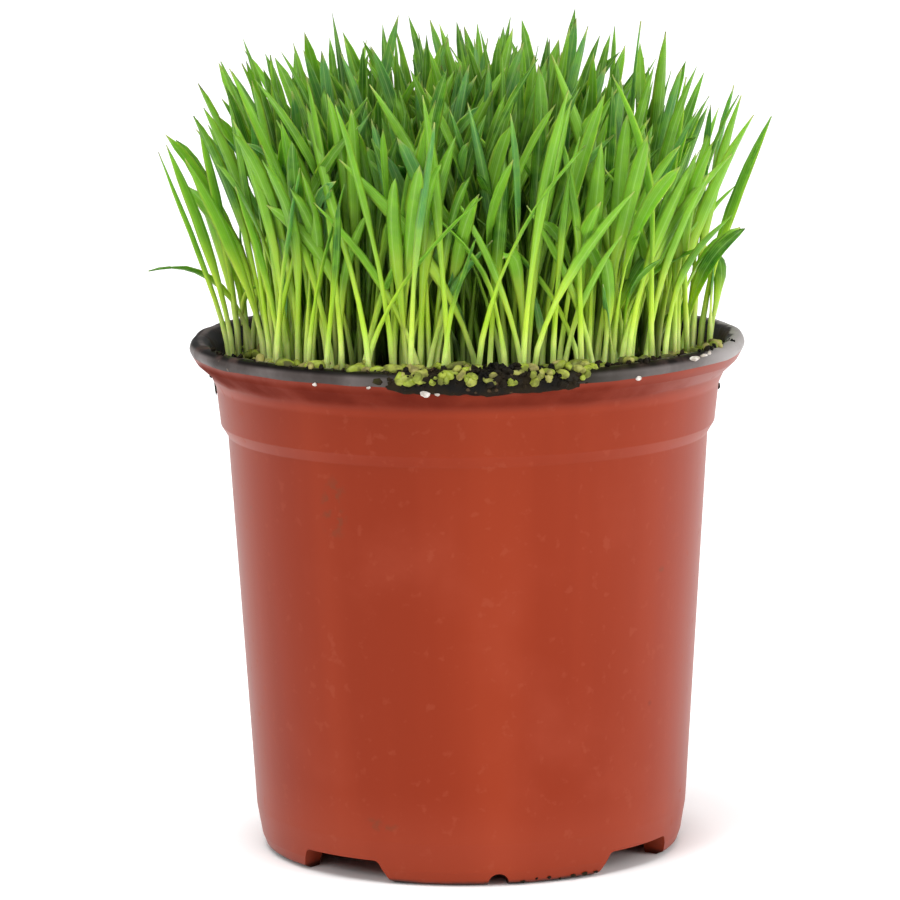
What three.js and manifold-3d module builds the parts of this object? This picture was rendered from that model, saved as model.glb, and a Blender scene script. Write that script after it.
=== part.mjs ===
// A pot of young wheatgrass: wheat sprouts in compost, in a thin plastic nursery pot.
// Millimetres, +Z up, the ground at z = 0, the pot's axis on Z and its front towards -Y.

import * as THREE from 'three';
import { mergeVertices } from 'three/addons/utils/BufferGeometryUtils.js';
import Module from 'manifold-3d';

const wasm = await Module();
wasm.setup();

// ---------------------------------------------------------------- driving dimensions

const WALL = 1; // the pot's sheet
const GAP = 0.3; // between pieces that touch
const POT_SIDES = 32;
const HOLE_SIDES = 6;

// The pot's corners as [radius, height], from the ground up.
const POT_TOP = 121;
const FOOT_INNER = 43.4;
const FOOT_OUTER = 46.7;
const HEEL = [[48.7, 0.9], [49.6, 3.4]]; // the rounded corner above the feet
const CREASE = [50.75, 10.1]; // where the wall turns under
const STEP = [56.25, 98.2]; // top of the plain wall
const COLLAR_LOW = [57.9, 100.9];
const COLLAR_HIGH = [58.84, 109.8];
const LIP_OUTSIDE = [[60.2, 112.8], [63.4, 115.7], [65, 118.6], [64.4, 120.5], [62.8, POT_TOP]];
const LIP_INSIDE = [[60.7, 120.4], [59.3, 117.4], [58.2, 113.6]];

// The floor is raised on four feet, with drain slots between them and a notch in each.
const FLOOR_UNDER = 3.6;
const FLOOR_TOP = 4.8;
const FLOOR_R = 44.5;
const FEET = 4;
const FOOT_TURN = THREE.MathUtils.degToRad(7.2); // middle of the front foot, towards +X
const SLOT = { bottomHalf: 13.4, topHalf: 10.4, from: -1, height: 5.4, inner: 41 };
const NOTCH = { r: 2.4, z: 0.6 };
const DRAIN = { count: 6, r: 4, ring: 32 };

// The compost, a little domed.
const SOIL_R = 57.2;
const SOIL_MIDDLE = 117;
const SOIL_EDGE = 114.6;
const DOME_R = 34; // where its slope changes

// The sprouts stand in bunches on a spiral, each bunch held by a knot of seeds and roots.
const BUNCHES = 48;
const FIELD_R = 51.5;
const FIELD_TURN = 0.3;
const GOLDEN_ANGLE = Math.PI * (3 - Math.sqrt(5));
const KNOT = { r: 5, sides: 6, proud: 0.6, depth: 4.5 };
const GRAIN = { half: 1.7, halfLong: 3, tilt: 0.35, z: 1.2 };
const SPROUTS = 5; // in a bunch
const SPROUT_RING = 3; // they stand this far from the bunch's middle
const SPROUT_SHIFT = 0.5; // of the step from one to the next
const ROOT_SUNK = 2.5;

// A blade: a round stem that opens into a folded leaf.
const STEM_R = 1.3;
const STEM_HALF = 1.13; // half the width of its three-cornered section
const SECOND_ROOT_HALF = 0.75;
const LEAF_KEEL = 0.55; // the fold, behind the middle
const LEAF_FACE = 0.35; // the edges, in front of the middle
const WIDEST = 0.6; // of the length
const GRASS_H = 79; // tips above the compost in the middle of the pot
const EDGE_DROP = 0.2; // of that, lower at the edge
const EDGE_REACH = 8; // outer blades lean out this much further
const EDGE_SPREAD = 0.8; // and this far, in radians, to either side of straight out
const SECOND_SHARE = 0.5; // of the sprouts have a second blade
const FORK_OUT = 0.9; // it leaves the stem this far from its middle

// Lowest and highest of what is drawn by chance for each blade. Rise is a share of the
// height that the place allows; angles are in radians, the rest in millimetres.
const MAIN = {
  reach: [3, 13],
  rise: [0.84, 1.03],
  bow: [0, 4],
  wave: [-1.7, 1.7],
  face: [-1.1, 1.1],
  twist: [-1.2, 1.2],
  half: [2.1, 3],
  opens: [0.18, 0.3],
};
const SECOND = {
  lean: [-1.3, 1.3],
  reach: [6, 20],
  rise: [0.45, 0.95],
  bow: [0, 6],
  wave: [-1.2, 1.2],
  face: [-0.8, 0.8],
  twist: [-1, 1],
  half: [1.9, 2.6],
};
const MAIN_RINGS = [0, 0.2, 0.42, 0.64, 0.84]; // as shares of a blade's length
const SECOND_RINGS = [0, 0.3, 0.6, 0.82];

// Sprouts near the rim whose blades draw the outline: where their tips are, how far they bow.
const LEADERS = [
  { bunch: 43, sprout: 0, tip: [-73.8, -8, 137.5], bow: 16 },
  { bunch: 43, sprout: 1, tip: [-70, 5, 168], bow: 3 },
  { bunch: 38, sprout: 0, tip: [-60, -14, 176], bow: 2 },
  { bunch: 30, sprout: 0, tip: [-45, -2, 187], bow: 1 },
  { bunch: 41, sprout: 0, tip: [-10, -68, 168], bow: 3 },
  { bunch: 26, sprout: 0, tip: [41, -2, 194], bow: 1 },
  { bunch: 34, sprout: 0, tip: [47, 4, 191], bow: 1 },
  { bunch: 39, sprout: 0, tip: [51, -14, 182], bow: 2 },
  { bunch: 47, sprout: 0, tip: [71.6, 4, 171], bow: 2 },
  { bunch: 47, sprout: 1, tip: [63, 8, 178], bow: 2 },
  { bunch: 47, sprout: 2, tip: [65, -6, 151], bow: 4 },
];
const LEADER_FACE = 0.6;

// A blade is drawn again, each time calmer, until it is clear of the others.
const TRIES = 36;
const CALMER = 0.6;
const CLEARANCE = 0.45;

// Everything drawn by chance has its own number, and second blades count on from the first.
const DRAWN = ['turn', 'phase', 'lean', 'reach', 'rise', 'bow', 'wave', 'face', 'twist', 'half',
  'opens', 'forks', 'grain'];
const SEED = 20261;

// ---------------------------------------------------------------- helpers

// An even draw from 0 to 1 that depends on its keys alone.
function chance(name, ...keys) {
  let h = SEED;
  for (const key of [DRAWN.indexOf(name), ...keys]) {
    h = Math.imul(h ^ key, 0x85ebca6b);
    h ^= h >>> 13;
    h = Math.imul(h, 0xc2b2ae35);
    h ^= h >>> 16;
  }
  return (h >>> 0) / 2 ** 32;
}

function mix(a, b, share) {
  return a + (b - a) * share;
}

// A closed geometry as a solid: shared corners merged, flat slivers at the poles dropped.
function solid(geometry) {
  const bare = new THREE.BufferGeometry();
  bare.setAttribute('position', geometry.getAttribute('position'));
  bare.setIndex(geometry.getIndex());
  const merged = mergeVertices(bare, 1e-4);
  const index = merged.getIndex().array;
  const triangles = [];
  for (let i = 0; i < index.length; i += 3) {
    const [a, b, c] = index.slice(i, i + 3);
    if (a !== b && b !== c && c !== a) triangles.push(a, b, c);
  }
  const vertProperties = new Float32Array(merged.getAttribute('position').array);
  const triVerts = new Uint32Array(triangles);
  return new wasm.Manifold(new wasm.Mesh({ numProp: 3, vertProperties, triVerts }));
}

function geometryOf(body) {
  const mesh = body.getMesh();
  const geometry = new THREE.BufferGeometry();
  geometry.setAttribute('position', new THREE.BufferAttribute(mesh.vertProperties, 3));
  geometry.setIndex(new THREE.BufferAttribute(mesh.triVerts, 1));
  geometry.computeVertexNormals();
  return geometry;
}

// A profile of [radius, height] turned about Z.
function turned(profile, sides) {
  const points = profile.map(([r, z]) => new THREE.Vector2(r, z));
  return new THREE.LatheGeometry(points, sides).rotateX(Math.PI / 2);
}

// ---------------------------------------------------------------- pot

function inward([r, z], by) {
  return [r - by, z];
}

// The inside of the wall, from the collar down to the floor.
function innerWall() {
  const corners = [COLLAR_HIGH, COLLAR_LOW, STEP, CREASE].map((corner) => inward(corner, WALL));
  return [...corners, [HEEL[1][0] - WALL, FLOOR_TOP + WALL]];
}

function makePot() {
  const outside = [
    [0, FLOOR_UNDER],
    [FOOT_INNER, FLOOR_UNDER],
    [FOOT_INNER, 0],
    [FOOT_OUTER, 0],
    ...HEEL,
    CREASE,
    STEP,
    COLLAR_LOW,
    COLLAR_HIGH,
    ...LIP_OUTSIDE,
  ];
  const inside = [...LIP_INSIDE, ...innerWall(), [FLOOR_R, FLOOR_TOP], [0, FLOOR_TOP]];
  let pot = solid(turned([...outside, ...inside], POT_SIDES));

  const slotShape = new THREE.Shape([
    new THREE.Vector2(-SLOT.bottomHalf, SLOT.from),
    new THREE.Vector2(SLOT.bottomHalf, SLOT.from),
    new THREE.Vector2(SLOT.topHalf, SLOT.height),
    new THREE.Vector2(-SLOT.topHalf, SLOT.height),
  ]);
  const cut = STEP[0] - FOOT_INNER; // reaches past the wall
  for (let i = 0; i < FEET; i += 1) {
    const turn = FOOT_TURN + (i * 2 * Math.PI) / FEET;
    const slot = new THREE.ExtrudeGeometry(slotShape, { depth: cut, bevelEnabled: false });
    slot.rotateX(Math.PI / 2).translate(0, -SLOT.inner, 0).rotateZ(turn + Math.PI / FEET);
    const notch = new THREE.CylinderGeometry(NOTCH.r, NOTCH.r, 2 * cut, 2 * HOLE_SIDES);
    notch.translate(0, -(FOOT_INNER + cut / 2), NOTCH.z).rotateZ(turn);
    pot = pot.subtract(solid(slot)).subtract(solid(notch));
  }
  for (let i = 0; i < DRAIN.count; i += 1) {
    const hole = new THREE.CylinderGeometry(DRAIN.r, DRAIN.r, FLOOR_TOP, HOLE_SIDES);
    hole.rotateX(Math.PI / 2).translate(DRAIN.ring, 0, FLOOR_TOP);
    hole.rotateZ(((i + 0.5) * 2 * Math.PI) / DRAIN.count);
    pot = pot.subtract(solid(hole));
  }
  return geometryOf(pot);
}

// ---------------------------------------------------------------- bunches and compost

function soilLevel(r) {
  return SOIL_MIDDLE - (SOIL_MIDDLE - SOIL_EDGE) * (r / SOIL_R) ** 2;
}

function bunchPlace(bunch) {
  const r = FIELD_R * Math.sqrt((bunch + 0.5) / BUNCHES);
  const angle = bunch * GOLDEN_ANGLE + FIELD_TURN;
  return new THREE.Vector3(r * Math.cos(angle), r * Math.sin(angle), soilLevel(r));
}

// A root knot, or the hole for it, between two heights from the compost.
function knotPrism(place, grow, bottom, top) {
  const r = KNOT.r + grow / Math.cos(Math.PI / KNOT.sides);
  const outline = [];
  for (let i = 0; i < KNOT.sides; i += 1) {
    const angle = (2 * Math.PI * i) / KNOT.sides;
    outline.push(new THREE.Vector2(r * Math.cos(angle), r * Math.sin(angle)));
  }
  const options = { depth: top - bottom, bevelEnabled: false };
  const prism = new THREE.ExtrudeGeometry(new THREE.Shape(outline), options);
  return prism.translate(place.x, place.y, place.z + bottom);
}

function makeSoil() {
  const profile = [
    [0, FLOOR_TOP + GAP],
    [FLOOR_R - GAP, FLOOR_TOP + GAP],
    ...innerWall().map((corner) => inward(corner, GAP)).reverse(),
    [SOIL_R, SOIL_EDGE],
    [DOME_R, soilLevel(DOME_R)],
    [0, SOIL_MIDDLE],
  ];
  let soil = solid(turned(profile, POT_SIDES));
  for (let bunch = 0; bunch < BUNCHES; bunch += 1) {
    const hole = knotPrism(bunchPlace(bunch), GAP, -KNOT.depth - GAP, KNOT.depth);
    soil = soil.subtract(solid(hole));
  }
  return geometryOf(soil);
}

// A grain of wheat, half sunk in the middle of the root knot.
function makeGrain(bunch) {
  const place = bunchPlace(bunch);
  const shape = new THREE.OctahedronGeometry(1).scale(GRAIN.half, GRAIN.half, GRAIN.halfLong);
  shape.rotateX(GRAIN.tilt).rotateZ(2 * Math.PI * chance('grain', bunch));
  return solid(shape.translate(place.x, place.y, place.z + GRAIN.z));
}

// ---------------------------------------------------------------- blades

// Where a sprout leaves the ground.
function sproutPlace(bunch, sprout) {
  const step = (2 * Math.PI) / SPROUTS;
  const turn = step * (sprout + SPROUT_SHIFT * chance('turn', bunch, sprout));
  const angle = turn + 2 * Math.PI * chance('phase', bunch);
  const x = SPROUT_RING * Math.cos(angle);
  const y = SPROUT_RING * Math.sin(angle);
  return bunchPlace(bunch).add(new THREE.Vector3(x, y, 0));
}

function calmness(attempt) {
  return 1 - (CALMER * attempt) / TRIES;
}

// One try at a sprout's main blade: outer ones lean out and are shorter.
function drawMain(bunch, sprout, attempt) {
  const draw = (name) => mix(...MAIN[name], chance(name, bunch, sprout, attempt));
  const from = sproutPlace(bunch, sprout);
  const edge = Math.min(1, Math.hypot(from.x, from.y) / FIELD_R);
  const spread = mix(Math.PI, EDGE_SPREAD, edge) * mix(-1, 1, chance('lean', bunch, sprout, attempt));
  const calm = calmness(attempt);
  const lean = Math.atan2(from.y, from.x) + spread;
  const blade = {
    from,
    lean,
    reach: (draw('reach') + EDGE_REACH * edge ** 2) * calm,
    rise: GRASS_H * (1 - EDGE_DROP * edge ** 3) * draw('rise') * mix(1, calm, 0.3),
    bow: draw('bow'),
    wave: draw('wave') * calm,
    face: lean + Math.PI / 2 + draw('face'),
    twist: draw('twist'),
    half: draw('half'),
    opens: draw('opens'),
  };
  const leader = LEADERS.find((each) => each.bunch === bunch && each.sprout === sprout);
  if (leader) {
    const across = new THREE.Vector3(...leader.tip).sub(from);
    blade.lean = Math.atan2(across.y, across.x);
    blade.reach = Math.hypot(across.x, across.y);
    blade.rise = across.z;
    blade.bow = leader.bow;
    blade.wave = 0;
    blade.face = LEADER_FACE * mix(-1, 1, chance('face', bunch, sprout, attempt));
  }
  return blade;
}

// One try at a second blade, which leaves the first one's stem and leans the other way.
function drawSecond(main, bunch, sprout, attempt) {
  const draw = (name) => mix(...SECOND[name], chance(name, bunch, sprout, TRIES + attempt));
  const lean = main.lean + Math.PI + draw('lean');
  const from = bladePoint(main, main.opens);
  const above = main.rise - (from.z - main.from.z);
  from.x += FORK_OUT * Math.cos(lean);
  from.y += FORK_OUT * Math.sin(lean);
  const calm = calmness(attempt);
  return {
    from,
    lean,
    reach: draw('reach') * calm,
    rise: above * draw('rise'),
    bow: draw('bow'),
    wave: draw('wave') * calm,
    face: lean + Math.PI / 2 + draw('face'),
    twist: draw('twist'),
    half: draw('half'),
    opens: 0,
  };
}

// The middle of a blade at share s of its length.
function bladePoint(blade, s) {
  const out = blade.reach * (0.3 * s + 0.7 * s * s);
  const side = blade.wave * Math.sin(4.2 * s) * s;
  const x = Math.cos(blade.lean) * out - Math.sin(blade.lean) * side;
  const y = Math.sin(blade.lean) * out + Math.cos(blade.lean) * side;
  const z = (blade.rise + blade.bow) * s - blade.bow * s ** 3;
  return new THREE.Vector3(x, y, z).add(blade.from);
}

// Half the width: a slim stem, widest past the middle, then drawn to a point.
function bladeHalf(blade, s) {
  if (s > WIDEST) return blade.half * (1 - ((s - WIDEST) / (1 - WIDEST)) ** 1.7);
  const root = blade.opens > 0 ? STEM_HALF : SECOND_ROOT_HALF;
  return mix(root, blade.half, THREE.MathUtils.smoothstep(s, blade.opens, WIDEST));
}

// A three-cornered ring: the two edges, and the keel behind them.
function bladeRing(blade, s, grow) {
  const middle = bladePoint(blade, s);
  const along = bladePoint(blade, s + 0.01).sub(bladePoint(blade, s - 0.01)).normalize();
  const turn = blade.face + blade.twist * s;
  const wide = new THREE.Vector3(Math.cos(turn), Math.sin(turn), 0);
  wide.addScaledVector(along, -wide.dot(along)).normalize();
  const back = new THREE.Vector3().crossVectors(wide, along);
  const flat = THREE.MathUtils.smoothstep(s, blade.opens / 2, 0.5);
  const half = bladeHalf(blade, s) + grow;
  const face = mix(STEM_R / 2, LEAF_FACE, flat) + grow;
  const keel = mix(STEM_R, LEAF_KEEL, flat) + grow;
  const corner = (x, y) => middle.clone().addScaledVector(wide, x).addScaledVector(back, y);
  return [corner(-half, -face), corner(half, -face), corner(0, keel)];
}

// A blade as a chain of prisms, each with a box round it, made larger all round by grow.
function bladePrisms(blade, shares, grow) {
  const rings = shares.map((s) => bladeRing(blade, s, grow));
  if (blade.opens > 0) {
    for (const corner of rings[0]) corner.z -= ROOT_SUNK;
  }
  const tip = bladePoint(blade, 1 + grow / blade.rise);
  return rings.map((ring, i) => {
    const next = rings[i + 1] ?? [tip, tip, tip];
    const triangles = i === 0 ? [ring] : [];
    for (let k = 0; k < 3; k += 1) {
      const l = (k + 1) % 3;
      triangles.push([ring[k], next[l], ring[l]]);
      if (next[k] !== tip) triangles.push([ring[k], next[k], next[l]]);
    }
    return { triangles, box: new THREE.Box3().setFromPoints([...ring, ...next]) };
  });
}

function bladeSolid(prisms) {
  const corners = prisms.flatMap((prism) => prism.triangles).flat();
  return solid(new THREE.BufferGeometry().setFromPoints(corners));
}

// ---------------------------------------------------------------- keeping blades apart

const ray = new THREE.Ray();
const spare = new THREE.Vector3();

function edgesPierce(a, b) {
  for (const triangle of a.triangles) {
    for (let k = 0; k < 3; k += 1) {
      const start = triangle[k];
      const end = triangle[(k + 1) % 3];
      ray.set(start, spare.copy(end).sub(start).normalize());
      for (const [p, q, r] of b.triangles) {
        const hit = ray.intersectTriangle(p, q, r, false, spare);
        if (hit && hit.distanceTo(start) <= start.distanceTo(end)) return true;
      }
    }
  }
  return false;
}

function isClear(prisms, kept) {
  return prisms.every((mine) => kept.every((other) => !mine.box.intersectsBox(other.box)
    || !(edgesPierce(mine, other) || edgesPierce(other, mine))));
}

// The first try that stays clear of the blades kept so far, if there is one.
function firstClear(draw, shares, kept) {
  for (let attempt = 0; attempt < TRIES; attempt += 1) {
    const blade = draw(attempt);
    if (isClear(bladePrisms(blade, shares, CLEARANCE), kept)) return blade;
  }
  return null;
}

// Every bunch's blades as solids. A second blade may touch its own stem only.
function makeBlades() {
  const kept = [];
  const mains = [];
  const bunches = Array.from({ length: BUNCHES }, () => []);
  for (let sprout = 0; sprout < SPROUTS; sprout += 1) {
    for (let bunch = 0; bunch < BUNCHES; bunch += 1) {
      const blade = firstClear((attempt) => drawMain(bunch, sprout, attempt), MAIN_RINGS, kept);
      if (!blade) continue;
      const prisms = bladePrisms(blade, MAIN_RINGS, 0);
      mains.push({ blade, bunch, sprout, prisms });
      kept.push(...prisms);
      bunches[bunch].push(bladeSolid(prisms));
    }
  }
  for (const { blade, bunch, sprout, prisms } of mains) {
    if (chance('forks', bunch, sprout) > SECOND_SHARE) continue;
    const others = kept.filter((prism) => !prisms.includes(prism));
    const draw = (attempt) => drawSecond(blade, bunch, sprout, attempt);
    const second = firstClear(draw, SECOND_RINGS, others);
    if (!second) continue;
    const secondPrisms = bladePrisms(second, SECOND_RINGS, 0);
    kept.push(...secondPrisms);
    bunches[bunch].push(bladeSolid(secondPrisms));
  }
  return bunches;
}

// ---------------------------------------------------------------- the assembly

const group = new THREE.Group();

function addNode(name, geometry, color, roughness) {
  const material = new THREE.MeshStandardMaterial({ color, roughness, metalness: 0 });
  const mesh = new THREE.Mesh(geometry, material);
  mesh.name = name;
  group.add(mesh);
}

addNode('pot', makePot(), 0xa83e26, 0.5);
addNode('soil', makeSoil(), 0x2a2019, 0.95);
makeBlades().forEach((blades, bunch) => {
  const knot = solid(knotPrism(bunchPlace(bunch), 0, -KNOT.depth, KNOT.proud));
  const body = wasm.Manifold.union([knot, ...blades, makeGrain(bunch)]);
  addNode(`bunch_${String(bunch + 1).padStart(2, '0')}`, geometryOf(body), 0x5a9628, 0.6);
});

export default group;
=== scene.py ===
# %% [markdown]
# # A pot of young wheatgrass
# Wheat grains are sown thickly on damp compost in a thin plastic nursery pot, and after ten
# days they stand as a dense tuft of bright blades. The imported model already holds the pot,
# the compost and 48 bunches of sprouts at their real size. This notebook dresses them: it
# turns a finer pot, lays crumbly compost, and grows every blade again from the rule that
# placed it, with a round stem, a folded leaf, veins and its own green.
#
# The frame comes first. Everything later is set against it, in metres, with Z up.

# %% Load the frame
import math

import bpy
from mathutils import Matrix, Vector, kdtree
from mathutils.bvhtree import BVHTree


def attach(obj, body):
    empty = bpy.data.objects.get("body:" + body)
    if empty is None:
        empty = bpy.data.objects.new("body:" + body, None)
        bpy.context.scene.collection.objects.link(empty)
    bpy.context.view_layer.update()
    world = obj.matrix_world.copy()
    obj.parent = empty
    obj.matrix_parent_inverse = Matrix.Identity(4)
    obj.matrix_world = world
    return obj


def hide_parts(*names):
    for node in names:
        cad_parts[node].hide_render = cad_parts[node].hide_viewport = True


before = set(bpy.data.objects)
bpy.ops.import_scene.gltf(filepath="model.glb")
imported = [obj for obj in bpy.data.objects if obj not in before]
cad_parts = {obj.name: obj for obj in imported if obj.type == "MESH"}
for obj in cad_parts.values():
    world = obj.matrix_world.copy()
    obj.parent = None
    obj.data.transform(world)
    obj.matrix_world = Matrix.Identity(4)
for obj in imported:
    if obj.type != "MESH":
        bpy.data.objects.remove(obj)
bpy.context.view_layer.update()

MM = 0.001

# %% [markdown]
# ## Camera
# The pot is seen from the front, from a little above the lip, through a long lens: far
# away and narrow, so that the wall's straight sides stay straight and both ends of the
# lip can be seen. The camera leans by half a degree, as a hand-held one does.

# %% Camera
camera_data = bpy.data.cameras.new("camera")
camera_data.sensor_width = 36
camera_data.lens = 220.4
camera = bpy.data.objects.new("camera", camera_data)
bpy.context.collection.objects.link(camera)
camera.location = (0, -1.278, 0.2965)
aim = Vector((-0.0042, 0, 0.0935))
camera.rotation_euler = (aim - camera.location).to_track_quat("-Z", "Y").to_euler()
HAND_LEAN = math.radians(-0.575)
camera.rotation_euler.rotate_axis("Z", HAND_LEAN)
bpy.context.scene.camera = camera
print("camera is", round((aim - camera.location).length, 3), "m from what it looks at")

# %% [markdown]
# ## Floor and light
# Plastic and leaves both show their form by what they reflect, so the set is a white tent:
# a pale surround, a pale floor, and an overhead sheet of light that keeps the floor white
# everywhere, which a wide soft sun does best. Two soft lamps in front, one at each side,
# give the modelling, and a third behind at the right draws a light edge on the pot and
# shines through the leaves. The surround stays darker than the floor, so that leaves and
# plastic keep their deep colours. A plain colour transform keeps the greens saturated.

# %% Floor and light
def new_material(name, **uniform):
    """A material with one Principled shader, whose even values are set on its own sockets."""
    material = bpy.data.materials.new(name)
    material.use_nodes = True
    shader = material.node_tree.nodes["Principled BSDF"]
    for title, value in uniform.items():
        shader.inputs[title.replace("_", " ")].default_value = value
    return material, material.node_tree, shader


def new_object(name, mesh):
    made = bpy.data.objects.new(name, mesh)
    bpy.context.collection.objects.link(made)
    return made


FLOOR_HALF = 5.0
floor_mesh = bpy.data.meshes.new("floor")
floor_corners = [(x * FLOOR_HALF, y * FLOOR_HALF, 0) for x, y in [(-1, -1), (1, -1), (1, 1), (-1, 1)]]
floor_mesh.from_pydata(floor_corners, [], [(0, 1, 2, 3)])
floor = new_object("floor", floor_mesh)
FLOOR, floor_nodes, floor_shader = new_material(
    "pale floor", Base_Color=(0.9, 0.9, 0.9, 1), Roughness=0.7, Emission_Strength=0.3)
floor_mesh.materials.append(FLOOR)

world = bpy.data.worlds.new("pale surround")
world.use_nodes = True
world.node_tree.nodes["Background"].inputs["Color"].default_value = (1, 1, 1, 1)
world.node_tree.nodes["Background"].inputs["Strength"].default_value = 0.34
bpy.context.scene.world = world
bpy.context.scene.view_settings.view_transform = "Standard"
LIT_PLACE = Vector((0, 0, 0.12))  # about the height of the lip


def soft_lamp(name, kind, place, strength, **settings):
    """A lamp that points at the pot's lip."""
    data = bpy.data.lights.new(name, kind)
    data.energy = strength
    for setting, value in settings.items():
        setattr(data, setting, value)
    lamp = new_object(name, data)
    lamp.location = place
    lamp.rotation_euler = (LIT_PLACE - lamp.location).to_track_quat("-Z", "Y").to_euler()


soft_lamp("overhead", "SUN", (-0.2, -0.4, 2), 2.6, angle=math.radians(40))
soft_lamp("left lamp", "AREA", (-0.8, -1.2, 0.9), 8, size=0.5)
soft_lamp("right lamp", "AREA", (1.1, -0.6, 0.6), 9, size=0.7)
soft_lamp("rim lamp", "AREA", (1.5, 0.9, 0.35), 5, size=0.7)

# %% [markdown]
# ## A way to write node trees as formulas
# Both geometry and materials are node trees here. Placing nodes one by one hides the
# formula that they stand for, so a small helper wraps a socket in an object that can be
# added and multiplied: `reach * (s * 0.3 + s * s * 0.7)` then makes the Math nodes itself.

# %% Formulas in node trees
class Wire:
    """One output socket, which plain arithmetic turns into Math nodes."""

    def __init__(self, tree, socket):
        self.tree = tree
        self.socket = socket

    def math(self, operation, *others):
        return add_node(self.tree, "ShaderNodeMath", (self, *others), operation=operation)[0]

    def __add__(self, other):
        return self.math("ADD", other)

    def __sub__(self, other):
        return self.math("SUBTRACT", other)

    def __mul__(self, other):
        return self.math("MULTIPLY", other)

    def __truediv__(self, other):
        return self.math("DIVIDE", other)

    def __pow__(self, other):
        return self.math("POWER", other)

    def vector(self, operation, *others):
        made = add_node(self.tree, "ShaderNodeVectorMath", (self, *others), operation=operation)
        return made[1] if operation in ("DOT_PRODUCT", "LENGTH") else made[0]

    def scaled(self, factor):
        inputs = {0: self, "Scale": factor}
        return add_node(self.tree, "ShaderNodeVectorMath", inputs, operation="SCALE")[0]


def add_node(tree, kind, inputs=(), **settings):
    """Adds a node, fills its inputs by place or by name, and returns its outputs as wires."""
    made = tree.nodes.new(kind)
    for name, value in settings.items():
        setattr(made, name, value)
    for key, value in inputs.items() if isinstance(inputs, dict) else enumerate(inputs):
        if isinstance(value, Wire):
            tree.links.new(value.socket, made.inputs[key])
        else:
            made.inputs[key].default_value = value
    return [Wire(tree, socket) for socket in made.outputs]


def ramp(tree, value, low, high, to_low=0.0, to_high=1.0):
    """value mapped smoothly from low..high to to_low..to_high, and held there outside."""
    inputs = {"Value": value, "From Min": low, "From Max": high, "To Min": to_low, "To Max": to_high}
    return add_node(tree, "ShaderNodeMapRange", inputs, interpolation_type="SMOOTHSTEP", clamp=True)[0]


def blend(tree, factor, a, b):
    """a where factor is 0 and b where it is 1, for numbers."""
    return add_node(tree, "ShaderNodeMix", {0: factor, 2: a, 3: b}, data_type="FLOAT")[0]


def combine(tree, x, y, z):
    return add_node(tree, "ShaderNodeCombineXYZ", (x, y, z))[0]


def separate(tree, vector):
    return add_node(tree, "ShaderNodeSeparateXYZ", (vector,))[:3]


def off_axis(x, y):
    """How far a place is from the pot's axis."""
    return (x * x + y * y).math("SQRT")


def new_tree(name, kind, inputs, outputs):
    """An empty node tree, its group input's wires by name, and its output node.

    The sockets' titles come by their kind, such as {"Float": ["Reach", "Width"], "Int": ["Seed"]}.
    """
    tree = bpy.data.node_groups.new(name, kind)
    for in_out, sockets in (("INPUT", inputs), ("OUTPUT", outputs)):
        for socket_kind, titles in sockets.items():
            for title in titles:
                tree.interface.new_socket(title, in_out=in_out, socket_type="NodeSocket" + socket_kind)
    source = tree.nodes.new("NodeGroupInput")
    wires = {socket.name: Wire(tree, socket) for socket in source.outputs if socket.name}
    return tree, wires, tree.nodes.new("NodeGroupOutput")


def finish_tree(tree, output, **results):
    for title, wire in results.items():
        tree.links.new(wire.socket, output.inputs[title])


def run_tree(name, start, tree, **inputs):
    """Runs a Geometry Nodes tree on an object and returns the result as a plain mesh object."""
    modifier = start.modifiers.new("grow", "NODES")
    modifier.node_group = tree
    sockets = [item for item in tree.interface.items_tree if item.in_out == "INPUT"]
    identifiers = {socket.name: socket.identifier for socket in sockets}
    for title, value in inputs.items():
        modifier[identifiers[title]] = value
    depsgraph = bpy.context.evaluated_depsgraph_get()
    mesh = bpy.data.meshes.new_from_object(start.evaluated_get(depsgraph), depsgraph=depsgraph)
    mesh.name = name
    if mesh.materials[0] is None:  # the unused slot that the tree's own primitives leave
        mesh.materials.pop(index=0)
    bpy.data.objects.remove(start)
    return new_object(name, mesh)


print("helpers are ready")

# %% [markdown]
# ## Effects that several materials use
# Nothing here is one flat colour. Plastic is scuffed and dusty, leaves are mottled, compost
# is patchy. One group makes soft patches from noise and another makes small separate
# specks, and each material places them at its own scale. A finish is then written as a
# list of layers: each is a mask and the colour that shows where the mask is strong.

# %% Patches and specks
def on_piece(tree):
    """The shaded point's place on its own piece, in metres."""
    return add_node(tree, "ShaderNodeTexCoord")[3]


def patches_group():
    tree, wires, output = new_tree(
        "patches", "ShaderNodeTree", {"Float": ["Scale", "Detail", "Low", "High"]}, {"Float": ["Mask"]})
    inputs = {"Vector": on_piece(tree), "Scale": wires["Scale"], "Detail": wires["Detail"]}
    grain = add_node(tree, "ShaderNodeTexNoise", inputs)[0]
    finish_tree(tree, output, Mask=ramp(tree, grain, wires["Low"], wires["High"]))
    return tree


def specks_group():
    tree, wires, output = new_tree(
        "specks", "ShaderNodeTree", {"Float": ["Scale", "Size", "Share"]}, {"Float": ["Mask"]})
    cells = add_node(tree, "ShaderNodeTexVoronoi", {"Vector": on_piece(tree), "Scale": wires["Scale"]})
    picked = add_node(tree, "ShaderNodeSeparateColor", (cells[1],))[0].math("LESS_THAN", wires["Share"])
    round_spot = ramp(tree, cells[0], wires["Size"], wires["Size"] * 0.6)
    finish_tree(tree, output, Mask=round_spot * picked)
    return tree


PATCHES = patches_group()
SPECKS = specks_group()


def effect(tree, group, **values):
    made = tree.nodes.new("ShaderNodeGroup")
    made.node_tree = group
    for title, value in values.items():
        made.inputs[title].default_value = value
    return Wire(tree, made.outputs[0])


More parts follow.
